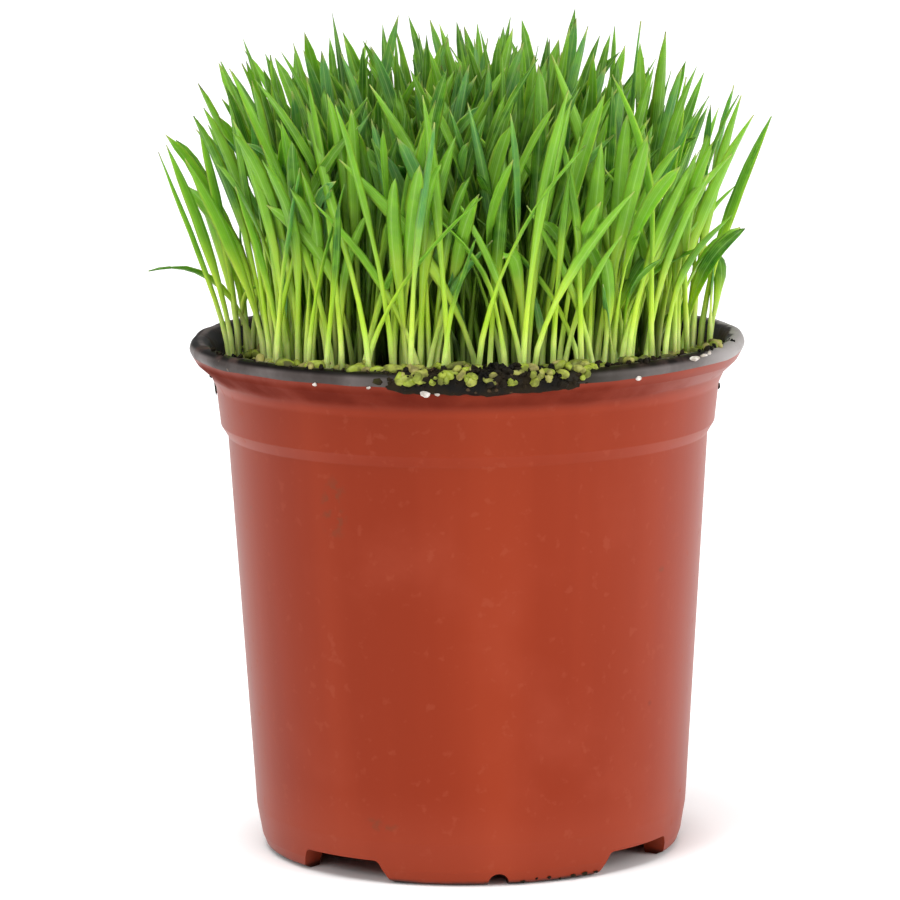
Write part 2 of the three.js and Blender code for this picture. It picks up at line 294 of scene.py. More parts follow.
def tint(tree, factor, a, b):
    """Colour a where factor is 0, b where it is 1."""
    a, b = (colour if isinstance(colour, Wire) else (*colour, 1) for colour in (a, b))
    return add_node(tree, "ShaderNodeMix", {0: factor, 6: a, 7: b}, data_type="RGBA")[2]


def layered(tree, colour, *layers):
    """A colour with others laid over it in turn, each as strongly as its own mask says."""
    for mask, over in layers:
        colour = tint(tree, mask, colour, over)
    return colour


def plug(tree, shader, title, wire):
    tree.links.new(wire.socket, shader.inputs[title])


def bump(tree, shader, height, distance, strength=1.0):
    inputs = {"Height": height, "Distance": distance, "Strength": strength}
    plug(tree, shader, "Normal", add_node(tree, "ShaderNodeBump", inputs)[0])


print("groups:", PATCHES.name, SPECKS.name)

# %% [markdown]
# ## The floor's glow
# A white set is lit from below as well, through a glass table or a sheet of white plastic.
# The floor glows a little for the same effect, which leaves only a soft shadow beside the
# pot. Under the pot the glow has to stop, or light would shine out between its feet.

# %% Let the floor glow
GLOW_FROM_R = 41
GLOW_FULL_R = 64
floor_x, floor_y, _ = separate(floor_nodes, on_piece(floor_nodes))
glow = ramp(floor_nodes, off_axis(floor_x, floor_y), GLOW_FROM_R * MM, GLOW_FULL_R * MM)
plug(floor_nodes, floor_shader, "Emission Color", combine(floor_nodes, glow, glow, glow))
print("the floor glows from", GLOW_FROM_R, "mm off the axis, fully from", GLOW_FULL_R, "mm")

# %% [markdown]
# ## The pot: one thin sheet
# A nursery pot is a single sheet of plastic, about a millimetre here, that was drawn down
# over a mould. So its whole form is one closed profile turned about the axis: out along
# the raised floor, down and round the foot, up the wall, over the stepped collar and the
# rolled lip, and back down inside. Each corner carries its own rounding, because a hot
# sheet never makes a sharp one. Corners are radius, height and rounding in millimetres.

# %% The pot's profile
WALL = 1.0
FLOOR_UNDER = 3.6
FLOOR_TOP = 4.8
FLOOR_R = 44.5
FOOT_INNER = 43.4
WALL_CORNERS = [(49.6, 3.4, 1.5), (50.75, 10.1, 9), (56.25, 98.2, 0.8), (57.9, 100.9, 0.8),
                (58.84, 109.8, 3)]
UNDERSIDE = [(0, FLOOR_UNDER, 0), (FOOT_INNER, FLOOR_UNDER, 0.5), (FOOT_INNER, 0, 0.4), (46.7, 0, 0.6),
             (48.7, 0.9, 1.2)]
FLARE = [(60.2, 112.8, 2), (63.3, 115.6, 0.8), (64.4, 117.5, 0.2)]
ROLLED_LIP = [(64.5, 117.7, 0.2), (65, 118.8, 1.6), (64.4, 120.5, 1.6), (62.8, 121, 2.8), (60.7, 120.4, 2.4),
              (59.3, 117.4, 4), (58.2, 113.6, 4)]


def inside_wall(gap):
    """The wall's corners from the top down, moved in by the sheet's thickness and a gap."""
    corners = [(r - WALL - gap, z, rounding) for r, z, rounding in reversed(WALL_CORNERS[1:])]
    return corners + [(WALL_CORNERS[0][0] - WALL - gap, FLOOR_TOP + WALL, 1)]


TERRACOTTA_SIDE = UNDERSIDE + WALL_CORNERS + FLARE
BLACK_SIDE = ROLLED_LIP + inside_wall(0) + [(FLOOR_R, FLOOR_TOP, 1), (0, FLOOR_TOP, 0)]


def store_floats(mesh, name, values):
    mesh.attributes.new(name, "FLOAT", "POINT").data.foreach_set("value", values)


def profile_object(name, corners, blacks=0):
    """A chain of edges in the XY plane, x out and y up; the last corners may be marked black."""
    mesh = bpy.data.meshes.new(name)
    edges = [(i, i + 1) for i in range(len(corners) - 1)]
    mesh.from_pydata([(r * MM, z * MM, 0) for r, z, _ in corners], edges, [])
    store_floats(mesh, "rounding", [rounding * MM for _, _, rounding in corners])
    store_floats(mesh, "black", [float(i >= len(corners) - blacks) for i in range(len(corners))])
    return new_object(name, mesh)


print("pot profile:", len(TERRACOTTA_SIDE), "corners outside,", len(BLACK_SIDE), "inside")

# %% [markdown]
# ## Turning a profile with Geometry Nodes
# The Spin tool would do this by hand. A tree keeps the sizes as inputs instead: the profile
# becomes a curve, Fillet Curve rounds its corners, and Curve to Mesh sweeps it round a
# circle. The sweep sets the profile off from the circle's line, so the circle is larger
# than the pot and the profile is moved in by as much, which keeps every radius true.

# %% Nodes that the turned pieces and others use
def geometry_tree(name, **inputs):
    """An empty Geometry Nodes tree that takes a geometry and the named inputs, given by their kind."""
    geometry = {"Geometry": ["Geometry"]}
    return new_tree(name, "GeometryNodeTree", {**geometry, **inputs}, geometry)


def field(tree, name, kind="FLOAT"):
    return add_node(tree, "GeometryNodeInputNamedAttribute", {"Name": name}, data_type=kind)[0]


def keep(tree, geometry, name, value, kind="FLOAT"):
    """Stores a value on the points, where a material or a later step can read it."""
    inputs = {"Geometry": geometry, "Name": name, "Value": value}
    return add_node(tree, "GeometryNodeStoreNamedAttribute", inputs, data_type=kind)[0]


def moved(tree, geometry, **inputs):
    return add_node(tree, "GeometryNodeSetPosition", {"Geometry": geometry, **inputs})[0]


def position(tree):
    return add_node(tree, "GeometryNodeInputPosition")[0]


def noise_of(tree, place, scale, detail=2.0):
    """Soft noise from -0.5 to 0.5."""
    inputs = {"Vector": place, "Scale": scale, "Detail": detail}
    return add_node(tree, "ShaderNodeTexNoise", inputs)[0] - 0.5


def knocked(tree, geometry, scale, distance):
    """Each point moved by coloured noise, its three channels as x, y and z."""
    inputs = {"Vector": position(tree), "Scale": scale, "Detail": 1.0}
    colour = add_node(tree, "ShaderNodeTexNoise", inputs)[1]
    return moved(tree, geometry, Offset=colour.vector("SUBTRACT", (0.5, 0.5, 0.5)).scaled(distance))


def merged(tree, mesh, distance):
    return add_node(tree, "GeometryNodeMergeByDistance", {"Geometry": mesh, "Distance": distance})[0]


def rounded_corners(tree, curve, radius, points):
    inputs = {"Curve": curve, "Radius": radius, "Limit Radius": True, "Count": points}
    return add_node(tree, "GeometryNodeFilletCurve", inputs, mode="POLY")[0]


def turned_profile(tree, profile, sides):
    circle_r = 1.0  # in metres, and so far larger than any radius of the profile
    line = add_node(tree, "GeometryNodeMeshToCurve", (profile,))[0]
    rounded = rounded_corners(tree, line, field(tree, "rounding"), 6)
    x, y, _ = separate(tree, position(tree))
    beside = moved(tree, rounded, Position=combine(tree, x - circle_r, y * -1, 0.0))
    circle = add_node(tree, "GeometryNodeCurvePrimitiveCircle", {"Resolution": sides, "Radius": circle_r})[0]
    swept = add_node(tree, "GeometryNodeCurveToMesh", {"Curve": circle, "Profile Curve": beside})[0]
    return add_node(tree, "GeometryNodeFlipFaces", {"Mesh": merged(tree, swept, 1e-5)})[0]


def joined(tree, *parts):
    made = tree.nodes.new("GeometryNodeJoinGeometry")
    for part in parts:
        tree.links.new(part.socket, made.inputs[0])
    return Wire(tree, made.outputs[0])


def copies(tree, points, instance, turn=(0, 0, 0), size=(1, 1, 1)):
    """One real copy of a shape on each point."""
    inputs = {"Points": points, "Instance": instance, "Rotation": turn, "Scale": size}
    placed = add_node(tree, "GeometryNodeInstanceOnPoints", inputs)[0]
    return add_node(tree, "GeometryNodeRealizeInstances", (placed,))[0]


def smooth_all(tree, geometry):
    return add_node(tree, "GeometryNodeSetShadeSmooth", {0: geometry, 2: True})[0]


def set_material(tree, geometry, material, **selection):
    inputs = {"Geometry": geometry, "Material": material, **selection}
    return add_node(tree, "GeometryNodeSetMaterial", inputs)[0]


def smooth_below(tree, geometry, degrees):
    """Shades smooth, but keeps edges sharp where faces meet at more than this angle."""
    angle = add_node(tree, "GeometryNodeInputMeshEdgeAngle")[0]
    sharp = angle.math("GREATER_THAN", math.radians(degrees))
    inputs = {0: smooth_all(tree, geometry), 1: sharp, 2: False}
    return add_node(tree, "GeometryNodeSetShadeSmooth", inputs, domain="EDGE")[0]


print("turning helpers are ready")

# %% [markdown]
# ## Slots, notches and drain holes
# The pot stands on four feet. Between them the sheet is drawn up and cut, so that water
# runs out; each foot has a small round notch under its middle, and the floor has six
# holes. Each cutter is drawn once, set round the axis as instances, and taken off in one
# boolean, which is how a rule like "every quarter turn" stays a number instead of copies.

# %% Cutters round the axis
def around_axis(tree, cutter, count, first_turn):
    """Copies of a cutter, evenly spaced about Z, the first one turned by first_turn."""
    inputs = {"Count": count, "Offset": (0, 0, 0)}
    points = add_node(tree, "GeometryNodeMeshLine", inputs, mode="OFFSET")[0]
    step = add_node(tree, "GeometryNodeInputIndex")[0] * math.tau / count
    return copies(tree, points, cutter, combine(tree, 0.0, 0.0, step + first_turn))


def transformed(tree, geometry, place, turn):
    inputs = {"Geometry": geometry, "Translation": place, "Rotation": turn}
    return add_node(tree, "GeometryNodeTransform", inputs)[0]


CUT_DEPTH = 14
CUT_BELOW = 1
SLOT_ROUNDING = 1.4
LEVEL = (math.pi / 2, 0, 0)  # turns what was made along Z to lie along -Y
UPRIGHT = (0, 0, 0)


def slot_cutter(tree, wires):
    """A trapezoid with rounded corners, drawn out along -Y from the slot's inner end."""
    inputs = {"Height": wires["Slot Height"], "Bottom Width": wires["Slot Bottom"],
              "Top Width": wires["Slot Top"], "Offset": 0.0}
    outline = add_node(tree, "GeometryNodeCurvePrimitiveQuadrilateral", inputs, mode="TRAPEZOID")[0]
    rounded = rounded_corners(tree, outline, SLOT_ROUNDING * MM, 4)
    face = add_node(tree, "GeometryNodeFillCurve", {"Curve": rounded}, mode="NGONS")[0]
    outwards = {"Mesh": face, "Offset": (0, 0, 1), "Offset Scale": CUT_DEPTH * MM, "Individual": False}
    front = add_node(tree, "GeometryNodeExtrudeMesh", outwards)[0]
    back = add_node(tree, "GeometryNodeFlipFaces", {"Mesh": face})[0]
    solid = merged(tree, joined(tree, back, front), 1e-6)
    place = combine(tree, 0.0, wires["Slot Inner"] * -1, wires["Slot Height"] * 0.5 - CUT_BELOW * MM)
    return transformed(tree, solid, place, LEVEL)


def rod(tree, radius, depth, place, turn, sides=24):
    inputs = {"Vertices": sides, "Radius": radius, "Depth": depth}
    cylinder = add_node(tree, "GeometryNodeMeshCylinder", inputs, fill_type="NGON")[0]
    return transformed(tree, cylinder, place, turn)


def cut(tree, mesh, cutters):
    made = tree.nodes.new("GeometryNodeMeshBoolean")
    made.operation = "DIFFERENCE"
    made.solver = "EXACT"
    tree.links.new(mesh.socket, made.inputs["Mesh 1"])
    for cutter in cutters:
        tree.links.new(cutter.socket, made.inputs["Mesh 2"])
    return Wire(tree, made.outputs[0])


print("cutters are ready")

# %% [markdown]
# ## Pot plastic
# The sheet is pressed from two layers, terracotta outside and black inside, and it is
# rolled outwards at the lip, so the black side shows there too. Both are satin: the wall
# is dull enough to look like clay from the front, and bleaches towards its edges, where
# it mirrors the white surround. The colour is never quite even. It has long faint streaks
# from the drawing of the sheet, dusty patches and a few specks. Low down it is painted
# lighter, as dust and as painted light, and the very bottom of the feet is darker. Painted
# shade lies in the hollow under the lip, and on the black lip a painted highlight runs
# along the crest and a painted reflection lights the right end.

# %% Pot plastic
def upright_streaks(tree, low, high):
    """A mask of faint upright bands round the wall: noise that is stretched along Z."""
    squeezed = add_node(tree, "ShaderNodeMapping", {"Vector": on_piece(tree), "Scale": (1, 1, 0.06)})[0]
    grain = add_node(tree, "ShaderNodeTexNoise", {"Vector": squeezed, "Scale": 38.0, "Detail": 3.0})[0]
    return ramp(tree, grain, low, high)


def painted_under_lip_shade(tree):
    """A mask of painted shade in the hollow of the flare, just under the rolled lip, streaked and weaker at
    the right.
    """
    x, _, z = separate(tree, on_piece(tree))
    streaky = effect(tree, PATCHES, Scale=90.0, Detail=5.0, Low=0.2, High=0.7)
    hollow = ramp(tree, z, 110.5 * MM, 113.5 * MM) * ramp(tree, z, 117.6 * MM, 115.8 * MM, 0.5, 1.0)
    less_at_right = ramp(tree, x, 30 * MM, 56 * MM, 1.0, 0.35)
    return hollow * (streaky * 0.45 + 0.55) * less_at_right


def foot_bottom_darkening(tree):
    """A mask that darkens the very bottom of the feet, broken by patches."""
    height = separate(tree, on_piece(tree))[2]
    broken = effect(tree, PATCHES, Scale=160.0, Detail=4.0, Low=0.3, High=0.6)
    return ramp(tree, height, 1.7 * MM, 0.5 * MM) * (broken * 0.6 + 0.4)


MARKS = [  # where each is across and up, and half its width and height
    (-30.5, 87.5, 3.6, 9.0), (-20.5, 14.4, 4.5, 2.2), (-49.8, 84.0, 0.9, 0.9), (44.2, 70.5, 0.8, 0.9),
]


def handled_marks(tree):
    """A mask of the few soil marks on the front that a hand has left."""
    x, y, z = separate(tree, on_piece(tree))
    total = 0.0
    for across, up, half_width, half_height in MARKS:
        aside = (x - across * MM) / (half_width * MM)
        above = (z - up * MM) / (half_height * MM)
        total = ramp(tree, aside * aside + above * above, 1.0, 0.1) + total
    broken = effect(tree, PATCHES, Scale=420.0, Detail=5.0, Low=0.46, High=0.6)
    return total * broken * y.math("LESS_THAN", 0.0)


def terracotta_plastic():
    material, tree, shader = new_material("terracotta plastic", IOR=1.45, Specular_IOR_Level=0.16)
    sheet = tint(tree, upright_streaks(tree, 0.35, 0.68), (0.226, 0.0215, 0.003), (0.262, 0.029, 0.006))
    dusty = effect(tree, PATCHES, Scale=26.0, Detail=6.0, Low=0.52, High=0.8)
    # lighter towards the foot: dust, and painted light
    dust_and_light_low = ramp(tree, separate(tree, on_piece(tree))[2], 24 * MM, 7 * MM, 0.0, 0.8)
    scuffed = effect(tree, PATCHES, Scale=340.0, Detail=3.0, Low=0.6, High=0.72)
    specks = effect(tree, SPECKS, Scale=95.0, Size=0.16, Share=0.06)
    painted_lip_shade = painted_under_lip_shade(tree)
    colour = layered(
        tree, sheet,
        (dusty.math("MAXIMUM", dust_and_light_low) * 0.3, (0.36, 0.065, 0.032)),
        (scuffed * 0.1, (0.42, 0.12, 0.07)),
        (specks * 0.75, (0.07, 0.012, 0.006)),
        # painted shade under the lip: darker and rougher in the hollow of the flare
        (painted_lip_shade * 0.9, (0.10, 0.010, 0.004)),
        (handled_marks(tree) * 0.4, (0.12, 0.045, 0.020)),
        # darker along the very bottom of the feet
        (foot_bottom_darkening(tree) * 0.9, (0.030, 0.008, 0.004)))
    plug(tree, shader, "Base Color", colour)
    dull = ramp(tree, dusty * 0.5 + scuffed * 0.5, 0.0, 1.0, 0.36, 0.5)
    plug(tree, shader, "Roughness", dull.math("MAXIMUM", painted_lip_shade))
    pores = add_node(tree, "ShaderNodeTexNoise",
                     {"Vector": on_piece(tree), "Scale": 1500.0, "Detail": 2.0})[0]
    bump(tree, shader, pores * 0.35 + upright_streaks(tree, 0.3, 0.7), 0.03 * MM, 0.6)
    return material


SMEAR_MIDDLE_X = 9


def lip_masks(tree):
    """Masks of the lip's crest, with its painted highlight, its lighter outer edge and the soil over its
    front, and how far right a place is, for the painted reflection at the right end.
    """
    x, y, z = separate(tree, on_piece(tree))
    r = off_axis(x, y)
    # painted reflection: the lip's right end is lighter, and its light edge band reaches further up there
    painted_right_reflection = ramp(tree, x, 50 * MM, 62 * MM)
    ragged = effect(tree, PATCHES, Scale=150.0, Detail=6.0, Low=0.3, High=0.7) * 1.4 * MM
    edge_r = r + painted_right_reflection * 1.4 * MM + ragged - 0.4 * MM
    edge_z = z - painted_right_reflection * 3 * MM
    outer_edge = ramp(tree, edge_r, 63.2 * MM, 64.0 * MM) * ramp(tree, edge_z, 120.3 * MM, 119.3 * MM)
    # painted highlight along the crest of the rolled lip
    painted_crest_highlight = ramp(tree, r, 61.2 * MM, 62.2 * MM) * ramp(tree, r, 63.4 * MM, 62.6 * MM)
    painted_crest_highlight = painted_crest_highlight * ramp(tree, z, 119.0 * MM, 120.0 * MM)
    aside = (x - SMEAR_MIDDLE_X * MM).math("ABSOLUTE")
    soiled = ramp(tree, aside, 46 * MM, 16 * MM) * y.math("LESS_THAN", 0.0)
    return painted_crest_highlight, outer_edge, soiled, painted_right_reflection


def black_plastic():
    material, tree, shader = new_material("black plastic", IOR=1.45, Specular_IOR_Level=0.1)
    painted_crest_highlight, outer_edge, soiled, painted_right_reflection = lip_masks(tree)
    dusty = effect(tree, PATCHES, Scale=120.0, Detail=8.0, Low=0.48, High=0.72)
    patchy = effect(tree, PATCHES, Scale=75.0, Detail=4.0, Low=0.35, High=0.6)
    edge_patches = effect(tree, PATCHES, Scale=55.0, Detail=6.0, Low=0.3, High=0.7)
    smeared = effect(tree, PATCHES, Scale=70.0, Detail=6.0, Low=0.25, High=0.6)
    specks = effect(tree, SPECKS, Scale=420.0, Size=0.22, Share=0.12)
    # the lip's lighter outer edge band, with a painted reflection at its right end
    edge_band_colour = layered(
        tree, (0.045, 0.036, 0.033),
        (edge_patches, (0.165, 0.143, 0.138)),
        (painted_right_reflection * 0.8, (0.36, 0.335, 0.325)))
    colour = layered(
        tree, (0.004, 0.0025, 0.002),
        (dusty * 0.8, (0.085, 0.052, 0.045)),
        # painted highlight on the crest
        (painted_crest_highlight * patchy * 0.7, (0.15, 0.12, 0.12)),
        (outer_edge, edge_band_colour),
        (smeared * soiled * 0.85, (0.010, 0.009, 0.004)),
        (specks * 0.6, (0.16, 0.12, 0.09)))
    plug(tree, shader, "Base Color", colour)
    plug(tree, shader, "Roughness", ramp(tree, dusty, 0.0, 1.0, 0.42, 0.7))
    bump(tree, shader, dusty + specks, 0.1 * MM)
    return material


TERRACOTTA = terracotta_plastic()
BLACK = black_plastic()
print("materials:", TERRACOTTA.name, "and", BLACK.name)

# %% [markdown]
# ## The finished pot
# After turning and cutting, the sheet is made a little uneven, as thin plastic full of wet
# compost is: the wall swells by a tenth of a millimetre here and there, and the lip rises
# and dips by a third. Both are noise added to each point's place, faded out towards the
# foot so that the pot still stands flat.

# %% Grow the pot
def pot_tree():
    tree, wires, output = geometry_tree(
        "turn_pot", Int=["Sides", "Feet", "Drains"], Material=["Outside", "Inside"],
        Float=["Foot Turn", "Slot Height", "Slot Bottom", "Slot Top", "Slot Inner", "Notch Radius",
               "Drain Radius", "Drain Ring"])
    sheet = turned_profile(tree, wires["Geometry"], wires["Sides"])

    turn = wires["Foot Turn"]
    between_feet = turn + math.pi / 4
    slots = around_axis(tree, slot_cutter(tree, wires), wires["Feet"], between_feet)
    notch_place = (0, -50 * MM, 0.6 * MM)
    notch = rod(tree, wires["Notch Radius"], CUT_DEPTH * MM, notch_place, LEVEL)
    notches = around_axis(tree, notch, wires["Feet"], turn)
    drain_place = combine(tree, wires["Drain Ring"], 0.0, FLOOR_TOP * MM)
    drain = rod(tree, wires["Drain Radius"], 6 * MM, drain_place, UPRIGHT)
    drains = around_axis(tree, drain, wires["Drains"], math.pi / 6)
    sheet = cut(tree, sheet, (slots, notches, drains))

    x, y, z = separate(tree, position(tree))
    outward = combine(tree, x, y, 0.0).vector("NORMALIZE")
    swell = noise_of(tree, position(tree), 22.0) * 0.5 * MM * ramp(tree, z, 12 * MM, 40 * MM)
    lip = ramp(tree, z, 111 * MM, 119 * MM)
    wave = noise_of(tree, outward, 1.7) * 1.6 * MM * lip
    flutter = noise_of(tree, outward, 7.0) * 0.5 * MM * lip
    offset = outward.scaled(swell + flutter)
    uneven = moved(tree, sheet, Offset=offset.vector("ADD", combine(tree, 0.0, 0.0, wave + flutter)))

    coloured = set_material(tree, smooth_below(tree, uneven, 38), wires["Outside"])
    is_black = field(tree, "black").math("GREATER_THAN", 0.99)
    coloured = set_material(tree, coloured, wires["Inside"], Selection=is_black)
    finish_tree(tree, output, Geometry=coloured)
    return tree


pot_profile = profile_object("pot profile", TERRACOTTA_SIDE + BLACK_SIDE, len(BLACK_SIDE))
pot = run_tree("nursery_pot", pot_profile, pot_tree(), **{
    "Sides": 192, "Feet": 4, "Foot Turn": math.radians(7.2), "Slot Height": 6.4 * MM,
    "Slot Bottom": 26.8 * MM, "Slot Top": 20.8 * MM, "Slot Inner": 41 * MM, "Notch Radius": 2.4 * MM,
    "Drains": 6, "Drain Radius": 4 * MM, "Drain Ring": 32 * MM, "Outside": TERRACOTTA, "Inside": BLACK})
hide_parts("pot")
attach(pot, "root")
print("pot faces:", len(pot.data.polygons), "materials:", pot.data.materials.keys())

# %% [markdown]
# ## The rule that places the sprouts
# Sprouts stand in bunches, and the bunches sit on a sunflower spiral: each one turned by
# the golden angle from the last and a little further out, which fills a disc evenly with
# no rows. Whatever varies from blade to blade comes from `chance`, a small hash of the
# bunch, the sprout and the quantity's name, so every run draws the same tuft. From here on
# places are in millimetres, and go over to metres where a mesh is made.

# %% Where sprouts stand
BUNCHES = 48
SPROUTS = 5
SPROUT_RING_R = 3
FIELD_R = 51.5
GOLDEN_ANGLE = math.pi * (3 - math.sqrt(5))
SPIRAL_TURN = 0.3
SOIL_R = 57.2
SOIL_MIDDLE = 117
SOIL_EDGE = 114.6
SEED = 20261
DRAWN = ["turn", "phase", "lean", "reach", "rise", "bow", "wave", "face", "twist", "half", "opens",
         "forks", "grain"]


def chance(name, *keys):
    """An even draw from 0 to 1 that depends on its keys alone."""
    h = SEED
    for key in [DRAWN.index(name), *keys]:
        h = ((h ^ key) * 0x85EBCA6B) & 0xFFFFFFFF
        h ^= h >> 13
        h = (h * 0xC2B2AE35) & 0xFFFFFFFF
        h ^= h >> 16
    return h / 2 ** 32


def mix(a, b, share):
    return a + (b - a) * share


def drawer(*keys):
    """A function that draws a named quantity between two ends, always alike for the same keys."""
    def draw(name, low, high):
        return mix(low, high, chance(name, *keys))

    return draw


def soil_level(r):
    """The compost is a little heaped: how high it is at a distance from the axis."""
    return SOIL_MIDDLE - (SOIL_MIDDLE - SOIL_EDGE) * (r / SOIL_R) ** 2


def polar(r, angle, z=0.0):
    """The place at a distance and a direction from the axis, in millimetres."""
    return Vector((r * math.cos(angle), r * math.sin(angle), z))


def bunch_place(bunch):
    r = FIELD_R * math.sqrt((bunch + 0.5) / BUNCHES)
    return polar(r, bunch * GOLDEN_ANGLE + SPIRAL_TURN, soil_level(r))


def sprout_place(bunch, sprout):
    turn = math.tau / SPROUTS * (sprout + 0.5 * chance("turn", bunch, sprout))
    angle = turn + math.tau * chance("phase", bunch)
    return bunch_place(bunch) + SPROUT_RING_R * polar(1, angle)


print("first bunches:", [tuple(round(v, 1) for v in bunch_place(b)) for b in range(3)])

# %% [markdown]
# ## Compost
# Potting compost is crumbs of peat and bark, almost black when it is damp. The body is a
# second turned profile, which fills the pot inside its wall with the small gap that the
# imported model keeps. Its top gets two sizes of noise, and loose crumbs and lumps are
# scattered over it: points thrown on the top faces, a rough ball on each, then one more
# noise over all of them, so that no two crumbs keep the same shape.

# %% Compost colour
def compost_material():
    material, tree, shader = new_material("damp compost", IOR=1.4, Specular_IOR_Level=0.15)
    dry = effect(tree, PATCHES, Scale=150.0, Detail=6.0, Low=0.38, High=0.66)
    bark = effect(tree, SPECKS, Scale=620.0, Size=0.42, Share=0.16)
    moss = effect(tree, PATCHES, Scale=90.0, Detail=5.0, Low=0.58, High=0.72)
    colour = layered(
        tree, (0.003, 0.0025, 0.0018),
        (dry, (0.020, 0.014, 0.007)),
        (bark * 0.8, (0.065, 0.042, 0.022)),
        (moss * 0.5, (0.045, 0.050, 0.010)))
    plug(tree, shader, "Base Color", colour)
    plug(tree, shader, "Roughness", ramp(tree, dry, 0.0, 1.0, 0.6, 0.95))
    bump(tree, shader, dry + bark, 0.4 * MM)
    return material


COMPOST = compost_material()
print("material:", COMPOST.name)

# %% Lay the compost
def drawn_number(tree, low, high, seed):
    """An even draw between two numbers for each point."""
    inputs = {2: low, 3: high, "Seed": seed}
    return add_node(tree, "FunctionNodeRandomValue", inputs, data_type="FLOAT")[1]


def drawn_vector(tree, low, high, seed):
    """An even draw between two vectors for each point."""
    inputs = {0: low, 1: high, "Seed": seed}
    return add_node(tree, "FunctionNodeRandomValue", inputs, data_type="FLOAT_VECTOR")[0]


def rough_ball(tree, roundness):
    return add_node(tree, "GeometryNodeMeshIcoSphere", {"Radius": 1.0, "Subdivisions": roundness})[0]


def scattered(tree, ground, selection, density, roundness, low, high, seed):
    """Rough balls, stretched and turned by chance, on the chosen faces of the ground."""
    inputs = {"Mesh": ground, "Selection": selection, "Density": density, "Seed": seed}
    points = add_node(tree, "GeometryNodeDistributePointsOnFaces", inputs, distribute_method="RANDOM")[0]
    stretch = drawn_vector(tree, (0.55, 0.55, 0.5), (1.5, 1.0, 0.9), seed + 1)
    size = stretch.scaled(drawn_number(tree, low, high, seed + 2))
    spin = drawn_vector(tree, (-0.5, -0.5, 0.0), (0.5, 0.5, math.tau), seed + 3)
    return copies(tree, points, rough_ball(tree, roundness), spin, size)


def compost_tree():
    tree, wires, output = geometry_tree(
        "lay_compost", Int=["Sides", "Seed"], Material=["Material"],
        Float=["Top Above", "Crumb Reach", "Lump Reach", "Crumbs", "Lumps"])
    body = turned_profile(tree, wires["Geometry"], wires["Sides"])
    x, y, z = separate(tree, position(tree))
    on_top = ramp(tree, z, wires["Top Above"], wires["Top Above"] + 1 * MM)
    r = off_axis(x, y)
    inner = ramp(tree, r, wires["Crumb Reach"], wires["Crumb Reach"] - 4 * MM)
    heave = noise_of(tree, position(tree), 70.0) * 2.6 * MM
    heave += noise_of(tree, position(tree), 320.0, 4.0) * 1.6 * MM
    rough = moved(tree, body, Offset=combine(tree, 0.0, 0.0, heave * on_top * inner))

    is_top = z.math("GREATER_THAN", wires["Top Above"])
    near = r.math("LESS_THAN", wires["Crumb Reach"]) * is_top
    nearer = r.math("LESS_THAN", wires["Lump Reach"]) * is_top
    seed = wires["Seed"]
    crumbs = scattered(tree, rough, near, wires["Crumbs"], 1, 0.35 * MM, 0.95 * MM, seed)
    lumps = scattered(tree, rough, nearer, wires["Lumps"], 2, 0.9 * MM, 1.9 * MM, seed + 10)
    loose = knocked(tree, joined(tree, crumbs, lumps), 520.0, 1.5 * MM)
    finish_tree(tree, output, Geometry=set_material(tree, joined(tree, rough, loose), wires["Material"]))
    return tree


GAP = 0.3
TOP_RINGS = 30
ring_radii = [SOIL_R * (1 - i / TOP_RINGS) for i in range(TOP_RINGS + 1)]
top_line = [(r, soil_level(r), 0) for r in ring_radii]
under_line = [(0, FLOOR_TOP + GAP, 0), (FLOOR_R - GAP, FLOOR_TOP + GAP, 0.5)]
COMPOST_PROFILE = under_line + list(reversed(inside_wall(GAP))) + top_line
compost = run_tree("compost", profile_object("compost profile", COMPOST_PROFILE), compost_tree(), **{
    "Sides": 96, "Top Above": 114 * MM, "Crumb Reach": 56.4 * MM, "Lump Reach": 54.5 * MM,
    "Crumbs": 300000.0, "Lumps": 42000.0, "Seed": 5, "Material": COMPOST})
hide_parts("soil")
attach(compost, "root")
print("compost faces:", len(compost.data.polygons))

# %% [markdown]
# ## Compost heaped at the lip
# Towards the front the compost lies against the lip and a little spills on it. That is a
# mound round part of the edge: a curve whose radius swells and fades, swept with a circle,
# made lumpy by noise, and then covered with the same crumbs and lumps as the rest.

# %% Heap the compost
HEAPS = [  # middle and spread of each arc in degrees, its radius, height and thickness
    (-84, 74, 57.6, 117.2, 3.1),
    (-86, 27, 62.7, 118.5, 2.9),
]
HEAP_MIDDLE, HEAP_SPREAD = (math.radians(degrees) for degrees in HEAPS[0][:2])
HEAP_STEPS = 80
THIN_END = 0.4


def heap_line():
    """The mound along the lip and the spill over it, as two arcs; each point carries its thickness."""
    mesh = bpy.data.meshes.new("heap line")
    points, edges, thick = [], [], []
    for middle, spread, r, z, most in HEAPS:
        for i in range(HEAP_STEPS + 1):
            share = 2 * i / HEAP_STEPS - 1
            angle = math.radians(middle + spread * share)
            uneven = 0.88 + 0.12 * math.sin(11 * angle) * math.cos(5 * angle)
            if i:
                edges.append((len(points) - 1, len(points)))
            points.append(polar(r, angle, z) * MM)
            thick.append((most * (1 - abs(share) ** 3) * uneven + THIN_END) * MM)
    mesh.from_pydata(points, edges, [])
    store_floats(mesh, "thick", thick)
    return new_object("heap line", mesh)


